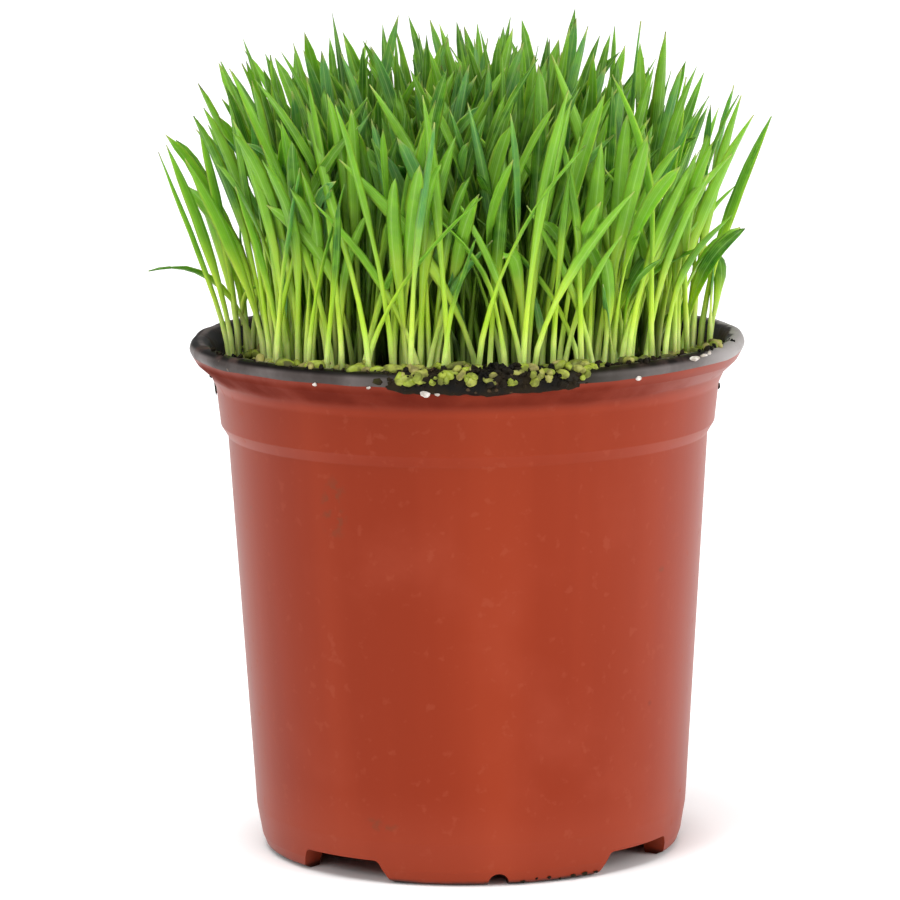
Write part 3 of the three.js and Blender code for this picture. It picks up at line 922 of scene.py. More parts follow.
def heap_tree():
    tree, wires, output = geometry_tree(
        "heap_compost", Int=["Seed"], Float=["Crumbs", "Lumps"], Material=["Material"])
    thick = field(tree, "thick")
    line = add_node(tree, "GeometryNodeMeshToCurve", (wires["Geometry"],))[0]
    line = add_node(tree, "GeometryNodeSetCurveRadius", {"Curve": line, "Radius": thick})[0]
    ring = add_node(tree, "GeometryNodeCurvePrimitiveCircle", {"Resolution": 16, "Radius": 1.0})[0]
    inputs = {"Curve": line, "Profile Curve": ring, "Scale": thick, "Fill Caps": True}
    swept = add_node(tree, "GeometryNodeCurveToMesh", inputs)[0]
    lumpy = noise_of(tree, position(tree), 260.0, 4.0) * 2.2 * MM
    rough = moved(tree, swept, Offset=combine(tree, 0.0, 0.0, lumpy))
    up = separate(tree, add_node(tree, "GeometryNodeInputNormal")[0])[2].math("GREATER_THAN", -0.3)
    seed = wires["Seed"]
    crumbs = scattered(tree, rough, up, wires["Crumbs"], 1, 0.3 * MM, 0.9 * MM, seed)
    lumps = scattered(tree, rough, up, wires["Lumps"], 1, 0.8 * MM, 1.6 * MM, seed + 10)
    heaped = joined(tree, rough, crumbs, lumps)
    finish_tree(tree, output, Geometry=set_material(tree, heaped, wires["Material"]))
    return tree


heap = run_tree("heaped_compost", heap_line(), heap_tree(), **{
    "Crumbs": 700000.0, "Lumps": 90000.0, "Seed": 50, "Material": COMPOST})
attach(heap, "root")
heap_top = max(vertex.co.z for vertex in heap.data.vertices)
print("heap faces:", len(heap.data.polygons), "top:", round(heap_top / MM, 1), "mm")

# %% [markdown]
# ## Where the ground is
# Whatever grows or lies near the lip must meet the heap, the compost or the plastic there,
# whichever is highest. A ray dropped from above finds it.

# %% Find the ground
grounds = [BVHTree.FromObject(piece, bpy.context.evaluated_depsgraph_get()) for piece in (pot, compost, heap)]


def ground_at(x, y):
    """The highest point of pot and compost under a place, in millimetres."""
    above = Vector((x, y, 200)) * MM
    hits = [ground.ray_cast(above, Vector((0, 0, -1)))[0] for ground in grounds]
    return max([hit.z / MM for hit in hits if hit] + [soil_level(math.hypot(x, y))])


print("ground at the front:", round(ground_at(0, -56), 1), "mm")

# %% [markdown]
# ## The rule that bends a blade
# A blade is a curve from the ground to its tip. It leans one way and reaches out, rises
# with a bow near the top, and waves a little sideways. Low down it is a round stem, and
# from `opens` on it widens into a leaf, whose face twists as it goes up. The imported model
# drew each blade again, calmer each time, until it stood clear of its neighbours, so its
# own points tell which draw it kept: the one whose last ring of corners is found there.

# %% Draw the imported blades
TRIES = 36
GRASS_H = 79
EDGE_REACH = 8
LAST_RING = {"first": 0.84, "second": 0.82}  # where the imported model's last ring of corners is
KEEL = (1.3, 0.55)  # how far its keel stands out behind the stem and behind the open leaf
FOUND_WITHIN = 0.05
BESIDE_STEM = 0.9
MAIN = {"reach": (3, 13), "rise": (0.84, 1.03), "bow": (0, 4), "wave": (-1.7, 1.7), "face": (-1.1, 1.1),
        "twist": (-1.2, 1.2), "half": (2.1, 3), "opens": (0.18, 0.3)}
SECOND = {"lean": (-1.3, 1.3), "reach": (6, 20), "rise": (0.45, 0.95), "bow": (0, 6), "wave": (-1.2, 1.2),
          "face": (-0.8, 0.8), "twist": (-1, 1), "half": (1.9, 2.6)}
LEADERS = {(43, 0): ((-73.8, -8, 137.5), 16), (43, 1): ((-70, 5, 168), 3), (38, 0): ((-60, -14, 176), 2),
           (30, 0): ((-45, -2, 187), 1), (41, 0): ((-10, -68, 168), 3), (26, 0): ((41, -2, 194), 1),
           (34, 0): ((47, 4, 191), 1), (39, 0): ((51, -14, 182), 2), (47, 0): ((71.6, 4, 171), 2),
           (47, 1): ((63, 8, 178), 2), (47, 2): ((65, -6, 151), 4)}


def smoothstep(x, low, high):
    t = max(0.0, min(1.0, (x - low) / (high - low)))
    return t * t * (3 - 2 * t)


def calmness(attempt):
    """1 at the first try, and less the more often a blade had to be drawn again."""
    return 1 - 0.6 * attempt / TRIES


def nearness_to_edge(place):
    return min(1, math.hypot(place.x, place.y) / FIELD_R)


def height_at(edge, lower=0):
    """How tall the tuft is: less towards its edge, and less again by another share."""
    return GRASS_H * (1 - 0.2 * edge ** 3 - lower)


def aimed(start, tip):
    """The numbers that bring a blade's tip to a chosen place."""
    across = Vector(tip) - start
    return {"lean": math.atan2(across.y, across.x), "reach": math.hypot(across.x, across.y), "rise": across.z}


def draw_main(bunch, sprout, attempt):
    """One try at a sprout's first blade: outer ones lean out and are shorter."""
    draw = drawer(bunch, sprout, attempt)
    drawn = {name: draw(name, *ends) for name, ends in MAIN.items()}
    start = sprout_place(bunch, sprout)
    edge = nearness_to_edge(start)
    calm = calmness(attempt)
    lean = math.atan2(start.y, start.x) + mix(math.pi, 0.8, edge) * draw("lean", -1, 1)
    blade = {
        **drawn, "start": start, "lean": lean, "reach": (drawn["reach"] + EDGE_REACH * edge ** 2) * calm,
        "rise": height_at(edge) * drawn["rise"] * mix(1, calm, 0.3), "wave": drawn["wave"] * calm,
        "face": lean + math.pi / 2 + drawn["face"], "root": 1.13}
    if (bunch, sprout) in LEADERS:
        tip, bow = LEADERS[bunch, sprout]
        blade.update(aimed(start, tip), bow=bow, wave=0, face=0.6 * draw("face", -1, 1))
    return blade


def draw_second(main, bunch, sprout, attempt):
    """One try at a second blade, which leaves the first one's stem and leans the other way."""
    draw = drawer(bunch, sprout, TRIES + attempt)
    drawn = {name: draw(name, *ends) for name, ends in SECOND.items()}
    lean = main["lean"] + math.pi + drawn["lean"]
    start = blade_point(main, main["opens"])
    above = main["rise"] - (start.z - main["start"].z)
    calm = calmness(attempt)
    return {
        **drawn, "start": start + BESIDE_STEM * polar(1, lean), "lean": lean, "reach": drawn["reach"] * calm,
        "rise": above * drawn["rise"], "wave": drawn["wave"] * calm,
        "face": lean + math.pi / 2 + drawn["face"], "opens": 0, "root": 0.75}


def blade_point(blade, s):
    """The middle of a blade at share s of its length."""
    out = blade["reach"] * (0.3 * s + 0.7 * s * s)
    side = blade["wave"] * math.sin(4.2 * s) * s
    lean = blade["lean"]
    x = math.cos(lean) * out - math.sin(lean) * side
    y = math.sin(lean) * out + math.cos(lean) * side
    z = (blade["rise"] + blade["bow"]) * s - blade["bow"] * s ** 3
    return blade["start"] + Vector((x, y, z))


def keel_corner(blade, s):
    """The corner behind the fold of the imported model's three-cornered ring at s."""
    along = (blade_point(blade, s + 0.01) - blade_point(blade, s - 0.01)).normalized()
    turn = blade["face"] + blade["twist"] * s
    wide = Vector((math.cos(turn), math.sin(turn), 0))
    wide = (wide - along * wide.dot(along)).normalized()
    flat = smoothstep(s, blade["opens"] / 2, 0.5)
    return blade_point(blade, s) + wide.cross(along) * mix(*KEEL, flat)


def kept_blade(draws, last_ring, corners):
    """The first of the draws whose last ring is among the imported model's corners, if there is one."""
    for blade in draws:
        if corners.find(keel_corner(blade, last_ring) * MM)[2] < FOUND_WITHIN * MM:
            return blade
    return None


def tree_of(points):
    """A k-d tree, which finds the nearest of many points quickly."""
    tree = kdtree.KDTree(len(points))
    for i, point in enumerate(points):
        tree.insert(point, i)
    tree.balance()
    return tree


def packed_blades(bunch):
    """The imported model's blades of a bunch, as (sprout, blade), each second one after its first."""
    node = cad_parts[f"bunch_{bunch + 1:02d}"]
    corners = tree_of([vertex.co for vertex in node.data.vertices])
    found = []
    for sprout in range(SPROUTS):
        draws = (draw_main(bunch, sprout, attempt) for attempt in range(TRIES))
        main = kept_blade(draws, LAST_RING["first"], corners)
        if main is None:
            continue
        found.append((sprout, main))
        if chance("forks", bunch, sprout) <= 0.5:
            draws = (draw_second(main, bunch, sprout, attempt) for attempt in range(TRIES))
            second = kept_blade(draws, LAST_RING["second"], corners)
            if second is not None:
                found.append((sprout, second))
    return found


bunches = [packed_blades(bunch) for bunch in range(BUNCHES)]
print("blades found in the packed model:", sum(len(blades) for blades in bunches),
      "of them first ones:", sum(blade["opens"] > 0 for blades in bunches for _, blade in blades))

# %% [markdown]
# ## Sweeping a blade
# Modelling hundreds of leaves by hand would take days, and copies of one leaf would look
# like copies. Here one point stands for one blade and carries its numbers as attributes.
# The tree puts the same plain tube on every point, and then moves each of the tube's own
# points to where the rule wants it: along the curve by its share `s`, and across it by
# its angle round the tube. The section is a round stem low down. Further up it is a thin
# leaf, hollowed along the middle like a gutter, which is what keeps a grass blade upright.

# %% The blade tree
BLADE_NUMBERS = ["lean", "reach", "rise", "bow", "wave", "face", "twist", "half", "opens", "root",
                 "tint", "nod", "hook", "blunt"]
CLOSER_AT_TIP = 0.4  # rings crowd towards the tip, where the outline turns most
FULL_WIDTH = 0.62  # the share of its length where a leaf has widened fully
WIDEST = 0.63  # the share from where it narrows again
RIPPLE = 0.9  # millimetres, across the leaf's face


def blade_middle(tree, s, number):
    """The curve of blade_point in metres, which may also nod and hook above its middle."""
    out = number["reach"] * (s * 0.3 + s * s * 0.7)
    past = (s - 0.5).math("MAXIMUM", 0.0)
    side = number["wave"] * (s * 4.2).math("SINE") * s + number["hook"] * past * past
    cos_lean = number["lean"].math("COSINE")
    sin_lean = number["lean"].math("SINE")
    dropped = number["nod"] * past * past
    z = (number["rise"] + number["bow"]) * s - number["bow"] * s * s * s - dropped
    x = cos_lean * out - sin_lean * side
    y = sin_lean * out + cos_lean * side
    return combine(tree, x, y, z)


def blade_tree():
    tree, wires, output = geometry_tree(
        "sweep_blades", Int=["Around", "Along"], Material=["Material"],
        Float=["Leaf Half Thickness", "Stem Radius", "Gutter", "Sunk"])
    sizes = {"Vertices": wires["Around"], "Side Segments": wires["Along"], "Radius": 1.0, "Depth": 1.0}
    tube = add_node(tree, "GeometryNodeMeshCylinder", sizes, fill_type="NGON")[0]
    x, y, z = separate(tree, position(tree))
    share = z + 0.5
    tube = keep(tree, tube, "s", share + (share - share * share) * CLOSER_AT_TIP)
    tube = keep(tree, tube, "angle", y.math("ARCTAN2", x))
    many = copies(tree, wires["Geometry"], tube)

    s = field(tree, "s")
    number = {name: field(tree, name) for name in BLADE_NUMBERS}
    middle = blade_middle(tree, s, number)
    ahead = blade_middle(tree, s + 0.01, number).vector("SUBTRACT", blade_middle(tree, s - 0.01, number))
    along = ahead.vector("NORMALIZE")
    turn = number["face"] + number["twist"] * s
    level = combine(tree, turn.math("COSINE"), turn.math("SINE"), 0.0)
    tilted = along.scaled(level.vector("DOT_PRODUCT", along))
    wide = level.vector("SUBTRACT", tilted).vector("NORMALIZE")
    back = wide.vector("CROSS_PRODUCT", along)

    swelling = ramp(tree, s, number["opens"], FULL_WIDTH)
    past_widest = ((s - WIDEST) / (1 - WIDEST)).math("MAXIMUM", 0.0)
    sheath = ramp(tree, s, 0.17, 0.20, 1.08, 0.94)
    taper = (past_widest ** (number["blunt"] * 4 + 2.0)) * -1 + 1
    forked = number["opens"].math("LESS_THAN", 0.01)
    sprung = forked * ramp(tree, s, 0.0, 0.14, 0.85, 0.0) * -1 + 1
    half = blend(tree, swelling, number["root"] * sheath, number["half"]) * taper * sprung
    flat = ramp(tree, s, number["opens"] * 0.5, 0.45)
    angle = field(tree, "angle")
    cos_angle = angle.math("COSINE")
    sin_angle = angle.math("SINE")
    own_noise = noise_of(tree, combine(tree, s * 5, number["tint"] * 40, cos_angle * 0.4), 1.0)
    ripple = own_noise * RIPPLE * MM * flat
    across = cos_angle * half
    round_depth = sin_angle * half.math("MINIMUM", wires["Stem Radius"])
    narrowing = (half / (2 * MM)).math("MINIMUM", 1.0)
    gutter = (cos_angle * cos_angle * -1 + 0.5) * wires["Gutter"] * narrowing
    leaf_depth = sin_angle * wires["Leaf Half Thickness"] + gutter + ripple
    depth = blend(tree, flat, round_depth, leaf_depth)
    place = middle.vector("ADD", wide.scaled(across)).vector("ADD", back.scaled(depth))
    sunk = combine(tree, 0.0, 0.0, ramp(tree, s, 0.0, 0.06, 1.0, 0.0) * wires["Sunk"] * -1)
    start = field(tree, "start", "FLOAT_VECTOR")
    blades = moved(tree, many, Position=start.vector("ADD", place).vector("ADD", sunk))
    blades = keep(tree, blades, "across", across / MM)
    pointed = smooth_all(tree, merged(tree, blades, 2e-6))
    finish_tree(tree, output, Geometry=set_material(tree, pointed, wires["Material"]))
    return tree


BLADE_TREE = blade_tree()
print("nodes in the blade tree:", len(BLADE_TREE.nodes))

# %% [markdown]
# ## Leaf green
# A sprout is nearly white where it leaves the ground and was last in the dark, then yellow
# green, and a deeper green where the leaf is open, with a pale dry tip. Fine veins run
# along it, closer together than a millimetre. Light passes through a leaf this thin, so
# the shader lets some scatter inside, and the skin is waxy and shines a little.

# %% Leaf green
def attribute_of(tree, name):
    node = tree.nodes.new("ShaderNodeAttribute")
    node.attribute_name = name
    return Wire(tree, node.outputs["Fac"])


VEIN_EVERY = 0.42  # millimetres across the leaf


def leaf_material():
    material, tree, shader = new_material(
        "wheatgrass leaf", Subsurface_Weight=0.4, Subsurface_Radius=(0.6, 1.0, 0.12),
        Subsurface_Scale=1.2 * MM, IOR=1.42, Specular_IOR_Level=0.22)
    s, own, across = (attribute_of(tree, name) for name in ("s", "tint", "across"))
    x, y, z = separate(tree, on_piece(tree))
    leaf = layered(
        tree, (0.017, 0.095, 0.004),
        (ramp(tree, own, 0.0, 0.6), (0.145, 0.335, 0.018)),
        (ramp(tree, own, 0.72, 0.9), (0.075, 0.235, 0.06)))
    stem = tint(tree, own, (0.36, 0.55, 0.012), (0.54, 0.70, 0.08))
    opened = ramp(tree, z, 127 * MM, 163 * MM).math("MAXIMUM", ramp(tree, s, 0.4, 0.65))
    foot = ramp(tree, z, 118 * MM, 132 * MM, 1.0, 0.0)
    # painted shade: leaves are darker towards the middle of the tuft and lower on each blade
    painted_shade_inside = ramp(tree, off_axis(x, y), 52 * MM, 41 * MM) * ramp(tree, s, 0.98, 0.7)
    mottle = effect(tree, PATCHES, Scale=210.0, Detail=3.0, Low=0.4, High=0.65)
    dry = ramp(tree, s, 0.955, 1.0) * ramp(tree, own, 0.45, 0.6)
    veins = (across * (math.tau / VEIN_EVERY)).math("COSINE") * 0.5 + 0.5
    rib = ramp(tree, across.math("ABSOLUTE"), 0.0, 0.35, 1.0, 0.0)
    colour = layered(
        tree, tint(tree, opened, stem, leaf),
        (foot, (0.76, 0.86, 0.32)),
        (painted_shade_inside * 0.88, (0.005, 0.038, 0.001)),
        (mottle * 0.3, (0.24, 0.52, 0.02)),
        (dry * 0.8, (0.42, 0.36, 0.12)),
        (veins * 0.16 * ramp(tree, s, 0.15, 0.4), (0.30, 0.52, 0.12)),
        (rib * 0.3 * ramp(tree, s, 0.2, 0.45), (0.36, 0.58, 0.16)))
    plug(tree, shader, "Base Color", colour)
    plug(tree, shader, "Roughness", ramp(tree, mottle, 0.0, 1.0, 0.36, 0.5))
    bump(tree, shader, veins * 0.6 + rib, 0.05 * MM, 0.5)
    return material


LEAF = leaf_material()
print("material:", LEAF.name)

# %% [markdown]
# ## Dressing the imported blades
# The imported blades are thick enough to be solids. Here each keeps its curve and gets what
# only its looks need: a slimmer stem and leaf, a shade of green, a blunt or a sharp tip,
# and often a tip that nods or hooks to one side. The blades that draw the tuft's outline
# keep their exact line. The low one at the left arches over the lip and is seen on edge.

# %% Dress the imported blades
LOOKS_KEY = {"tint": 7, "blunt": 9, "half": 11, "twist": 13, "nod": 15, "hook": 17, "opens": 19}
DROOPER = (43, 0)
RIGHT_X = 34
RIGHT_NARROWER = 0.72


def lit_twist(face, twist, share=0.55):
    """A twist changed so that the leaf's tip shows more of its face to the light in front."""
    past = (face + twist + math.pi / 2) % math.pi - math.pi / 2
    return twist - share * past


def dressed(bunch, sprout, blade):
    """A packed blade with the numbers that only its looks need."""
    second = int(blade["opens"] == 0)

    def draw(name, low, high):
        return mix(low, high, chance("grain", bunch, sprout, LOOKS_KEY[name] + second))

    looks = {
        "start": blade["start"] - BESIDE_STEM * second * polar(1, blade["lean"]), "root": blade["root"] * 0.6,
        "tint": draw("tint", 0, 1), "blunt": draw("blunt", 0, 1),
        "half": blade["half"] * draw("half", 0.48, 0.78),
        "opens": blade["opens"] + (1 - second) * draw("opens", 0.05, 0.15),
        "twist": blade["twist"] * 1.5 + draw("twist", -0.6, 0.6)}
    if (bunch, sprout) == DROOPER and not second:
        looks.update(face=blade["lean"] + math.pi / 2 + 0.5, twist=0.4, half=1.3, tint=0.2)
    elif (bunch, sprout) not in LEADERS:
        if blade["start"].x > RIGHT_X:
            looks["half"] *= RIGHT_NARROWER
        looks.update(nod=draw("nod", -6, 22), hook=draw("hook", -18, 18))
        looks["twist"] = lit_twist(blade["face"], looks["twist"])
    return {**blade, **looks}


grown = [[dressed(bunch, sprout, blade) for sprout, blade in found] for bunch, found in enumerate(bunches)]
print("packed blades dressed:", sum(len(blades) for blades in grown))

# %% [markdown]
# ## Leaves that are placed one by one
# A rule gives an even tuft, and a real one isn't: here and there a leaf crosses the others
# at the front and the sides. The eye goes to those, so each is given one by one, by where it
# stands and where its tip is, and it joins the bunch that it stands nearest to.

# %% Place leaves one by one
BY_HAND = [  # where each starts, where its tip is, half its width, how far it bows and nods
    ((3, -48), (-28, -55, 168), 2.1, 2, 0), ((4, -41), (-21, -48, 184), 2.0, 3, 0),
    ((-31, -39), (-53, -38, 187), 1.6, 1, 0), ((36, -36), (20, -44, 190), 2.1, 2, 0),
    ((13, -45), (9, -56, 158), 2.0, 4, 50), ((-17, -46), (-6, -53, 181), 2.0, 2, 0),
    ((46, -22), (66, -22, 174), 2.0, 2, 0), ((-46, -19), (-65, -12, 164), 2.0, 1, 0),
    ((-30, -43), (-46, -42, 170), 1.2, 1, 0), ((-10, -50), (-34, -52, 158), 1.2, 2, 0),
    ((29, -47), (14, -53, 157), 1.1, 1, 0), ((13, -52), (-2, -55, 159), 1.1, 1, 0),
    ((-24, -49), (-11, -54, 152), 1.1, 2, 0), ((40, -38), (55, -37, 162), 1.3, 2, 0),
    ((21, -50), (35, -51, 150), 1.2, 2, 0), ((-42, -34), (-52, -36, 160), 1.1, 1, 0),
    ((-55, -6), (-71, -7, 165), 0.8, -10, 0), ((-54, -9), (-69, -10, 167), 1.6, -2, 0),
    ((-53, -3), (-62, -3, 172), 1.4, 0, 0), ((52, -6), (64, -6, 177), 1.8, 0, 0),
]
places = [bunch_place(bunch) for bunch in range(BUNCHES)]


def leaf_by_hand(place, tip, half, bow, nod):
    start = Vector((*place, soil_level(math.hypot(*place))))
    return {
        "start": start, **aimed(start, tip), "bow": bow, "wave": 1.0, "face": 0.35, "twist": 0.5,
        "half": half, "opens": 0.3, "root": 0.65, "nod": nod, "tint": 0.62, "blunt": 0.2}


def plant(blade):
    """Adds a blade to the bunch that it stands nearest to."""
    nearest = min(range(BUNCHES), key=lambda bunch: (places[bunch] - blade["start"]).length)
    grown[nearest].append(blade)


for sizes in BY_HAND:
    plant(leaf_by_hand(*sizes))
print("leaves placed by hand:", len(BY_HAND))

# %% [markdown]
# ## Blades between the blades
# Real grass is denser than a solid model can afford to be, so thinner sprouts come between
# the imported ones, a slender row stands on the heap along the front, and short pale shoots
# show the grains that sprouted late. Each thin sprout is drawn several times by the same
# rule, and the draw that stays furthest from every blade grown so far is kept. Those in
# the right half are shorter, since a tuft is seldom as full on one side as on the other.

# %% Rules for the blades between
THIN = {"reach": (3, 28), "rise": (0.68, 1.0), "bow": (0, 7), "wave": (-2.4, 2.4), "face": (-1.4, 1.4),
        "twist": (-2.6, 2.6), "half": (0.9, 1.9), "opens": (0.2, 0.42)}
THIN_RING_R = 5.6
THIN_WITHIN_R = 65
LOWER_AT_RIGHT = 0.3
LOWER_FROM_X = 10
FRINGE = 34
FRINGE_SPREAD = 0.82
THIN_KEY, LATE_KEY, BLUNT_KEY, FRINGE_KEY, FRINGE_BLUNT_KEY = 100, 200, 300, 905, 906


def room_outwards(start, lean):
    """How far a blade may reach in its direction before it leaves the thin blades' circle."""
    outwards = start.x * math.cos(lean) + start.y * math.sin(lean)
    return math.sqrt(outwards ** 2 + THIN_WITHIN_R ** 2 - start.x ** 2 - start.y ** 2) - outwards


def draw_thin(bunch, number, attempt):
    """One try at a thin sprout between the others of a bunch."""
    draw = drawer(bunch, THIN_KEY + number, attempt)
    drawn = {name: draw(name, *ends) for name, ends in THIN.items()}
    turn = draw("turn", 0, math.tau)
    out = THIN_RING_R * math.sqrt(draw("phase", 0.05, 1))
    start = bunch_place(bunch) + out * polar(1, turn)
    edge = nearness_to_edge(start)
    lean = math.atan2(start.y, start.x) + mix(math.pi, 1.8, edge) * draw("lean", -1, 1)
    lower = LOWER_AT_RIGHT * min(1, max(0, (start.x - LOWER_FROM_X) / 30))
    return {
        **drawn, "start": start, "lean": lean, "reach": min(room_outwards(start, lean), drawn["reach"]),
        "rise": height_at(edge, lower) * drawn["rise"],
        "face": lean + math.pi / 2 + drawn["face"], "root": 0.6, "nod": max(0, draw("grain", -25, 40)),
        "hook": draw("phase", -34, 34), "tint": draw("forks", 0, 1),
        "blunt": chance("grain", bunch, BLUNT_KEY + number, attempt)}


def draw_fringe(number, attempt):
    """One try at a slender sprout of the front row, which stands on the heap close to the lip."""
    draw = drawer(FRINGE_KEY, number, attempt)
    share = (number + draw("turn", 0, 1)) / FRINGE
    angle = HEAP_MIDDLE + HEAP_SPREAD * FRINGE_SPREAD * (2 * share - 1)
    start = polar(draw("phase", 51, 60), angle)
    start.z = ground_at(start.x, start.y) - 0.8
    lean = angle + math.copysign(draw("lean", 0.9, 2.5), draw("twist", -1, 1))
    return {
        "start": start, "lean": lean, "reach": min(room_outwards(start, lean), draw("reach", 3, 30)),
        "rise": GRASS_H * draw("rise", 0.4, 0.85), "bow": draw("bow", 0, 4), "wave": draw("wave", -2, 2),
        "face": draw("face", -1, 1), "twist": draw("twist", -1.5, 1.5), "half": draw("half", 0.9, 1.7),
        "opens": draw("opens", 0.28, 0.45), "root": 0.62, "hook": draw("grain", -26, 26),
        "tint": draw("forks", 0, 1), "blunt": chance("wave", FRINGE_BLUNT_KEY, number, attempt)}


def draw_late(bunch, number):
    """A short shoot of a grain that sprouted late."""
    draw = drawer(bunch, LATE_KEY + number)
    start = bunch_place(bunch) + draw("phase", 2, 6) * polar(1, draw("turn", 0, math.tau))
    return {
        "start": start, "lean": draw("lean", 0, math.tau), "reach": draw("reach", 1, 9),
        "rise": draw("rise", 9, 34), "bow": 0, "wave": draw("wave", -1, 1),
        "face": draw("face", 0, math.pi), "twist": 0.5, "half": draw("half", 0.7, 1.2), "opens": 0.45,
        "root": 0.7, "tint": 1.0}


print("room outwards at the front lip:", round(room_outwards(Vector((0, -56, 0)), -math.pi / 2), 1), "mm")

# %% Plant the blades between
SAMPLES = 12
DRAWS = 10
THIN_PER_BUNCH = 9
SIDE_X = 38
THIN_AT_SIDES = 3
LATE_PER_BUNCH = 2


def along_blade(blade):
    return [blade_point(blade, (i + 1) / SAMPLES) for i in range(SAMPLES)]


def all_standing():
    return tree_of([point for blades in grown for blade in blades for point in along_blade(blade)])


def freest(draw, *keys, standing):
    """The one of several draws that stays furthest from the blades that stand already."""
    draws = [draw(*keys, attempt) for attempt in range(DRAWS)]
    return max(draws, key=lambda blade: min(standing.find(point)[2] for point in along_blade(blade)))


for number in range(FRINGE):
    plant(freest(draw_fringe, number, standing=all_standing()))
for number in range(THIN_PER_BUNCH):
    standing = all_standing()
    for bunch in range(BUNCHES):
        if abs(places[bunch].x) > SIDE_X and number >= THIN_AT_SIDES:
            continue
        sprout = freest(draw_thin, bunch, number, standing=standing)
        sprout["twist"] = lit_twist(sprout["face"], sprout["twist"])
        grown[bunch].append(sprout)
for bunch in range(BUNCHES):
    grown[bunch] += [draw_late(bunch, number) for number in range(LATE_PER_BUNCH)]
print("blades to grow:", sum(len(blades) for blades in grown))

# %% [markdown]
# ## Growing the bunches
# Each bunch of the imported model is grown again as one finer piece. All 48 use the same
# tree and differ only in their points, so a change of the rule changes every blade.

# %% Grow the bunches
LENGTHS = ("reach", "rise", "bow", "wave", "half", "root", "nod", "hook", "start", "place", "stretch")


def points_object(name, rows, numbers=(), vectors=()):
    """One point for each row, which carries its values as attributes; lengths go over to metres."""
    mesh = bpy.data.meshes.new(name)
    mesh.from_pydata([(0, 0, 0)] * len(rows), [], [])
    for title in numbers:
        scale = MM if title in LENGTHS else 1
        store_floats(mesh, title, [row.get(title, 0) * scale for row in rows])
    for title in vectors:
        scale = MM if title in LENGTHS else 1
        values = [component * scale for row in rows for component in row[title]]
        mesh.attributes.new(title, "FLOAT_VECTOR", "POINT").data.foreach_set("vector", values)
    return new_object(name, mesh)


grass = []
for bunch, blades in enumerate(grown):
    points = points_object("blades", blades, BLADE_NUMBERS, ["start"])
    piece = run_tree(f"wheatgrass_{bunch + 1:02d}", points, BLADE_TREE, **{
        "Around": 8, "Along": 10, "Leaf Half Thickness": 0.15 * MM, "Stem Radius": 1.25 * MM,
        "Gutter": 1.0 * MM, "Sunk": 2.5 * MM, "Material": LEAF})
    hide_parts(f"bunch_{bunch + 1:02d}")
    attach(piece, "root")
    grass.append(piece)
print("grass pieces:", len(grass), "faces:", sum(len(piece.data.polygons) for piece in grass))

# %% [markdown]
# ## Wheat grains
# The seed stays behind at the foot of every sprout, swollen and going green, half sunk in
# the compost, and more lie where they never sprouted, a few of them spilled over the front
# of the lip. A grain is an egg with a crease down one side. The tree presses that crease
# into a plain ball with a formula, then sets one on every point, so each grain needs only
# its place, its turn and its size.

# %% Grain skin
def grain_material():
    material, tree, shader = new_material("sprouted wheat grain", IOR=1.42, Specular_IOR_Level=0.35)
    own = attribute_of(tree, "tint")
    dirt = effect(tree, PATCHES, Scale=420.0, Detail=5.0, Low=0.42, High=0.62)
    colour = layered(
        tree, (0.28, 0.35, 0.03),
        (ramp(tree, own, 0.3, 0.9), (0.30, 0.27, 0.08)),
        (ramp(tree, own, 0.0, 0.35, 1.0, 0.0), (0.085, 0.095, 0.018)),
        (dirt * 0.6, (0.035, 0.027, 0.012)))
    plug(tree, shader, "Base Color", colour)
    plug(tree, shader, "Roughness", ramp(tree, dirt, 0.0, 1.0, 0.42, 0.8))
    bump(tree, shader, dirt, 0.12 * MM, 0.7)
    return material


GRAIN = grain_material()
print("material:", GRAIN.name)

# %% The grain tree
def carried_points(tree, wires):
    """The rows' points, each moved to the place that it carries."""
    return moved(tree, wires["Geometry"], Position=field(tree, "place", "FLOAT_VECTOR"))


def grain_tree():
    tree, wires, output = geometry_tree(
        "sow_grains", Float=["Half Width", "Half Length", "Crease"], Material=["Material"])
    ball = add_node(tree, "GeometryNodeMeshUVSphere", {"Segments": 8, "Rings": 6, "Radius": 1.0})[0]
    x, y, z = separate(tree, position(tree))
    in_crease = (x * x * -14).math("EXPONENT") * y.math("MAXIMUM", 0.0) * (z * z * -1 + 1)
    wide = wires["Half Width"] * (z * -0.13 + 1)
    depth = (y * 0.9 - in_crease * wires["Crease"]) * wide
    grain = moved(tree, ball, Position=combine(tree, x * wide, depth, z * wires["Half Length"]))
    turn = field(tree, "turn", "FLOAT_VECTOR")
    many = smooth_all(tree, copies(tree, carried_points(tree, wires), grain, turn, field(tree, "size")))
    finish_tree(tree, output, Geometry=set_material(tree, many, wires["Material"]))
    return tree


def side_of(angle, z):
    """The outermost point of pot and compost at an angle and a height, found from outside."""
    outward = polar(1, angle)
    start = (90 * outward + Vector((0, 0, z))) * MM
    hits = [ground.ray_cast(start, -outward) for ground in grounds]
    return min((hit for hit in hits if hit[0]), key=lambda hit: hit[3])[0] / MM


def lying_turn(draw):
    """Any way round, with the long axis nearly level."""
    return math.pi / 2 + draw("lean", -0.45, 0.45), draw("face", 0, 3), draw("phase", 0, math.tau)


def lying_grain(place, draw, sizes, tints=(0, 1)):
    return {"place": place, "turn": lying_turn(draw), "size": draw("half", *sizes),
            "tint": draw("bow", *tints)}


def dropped_grain(r, angle, draw, sunk):
    """A grain that lies where it meets the ground from above."""
    place = polar(r, angle)
    place.z = ground_at(place.x, place.y) + draw("rise", *sunk)
    return lying_grain(place, draw, (0.76, 1.0))


print("pot's side at the front:", round(-side_of(math.radians(-90), 60).y, 1), "mm off the axis")

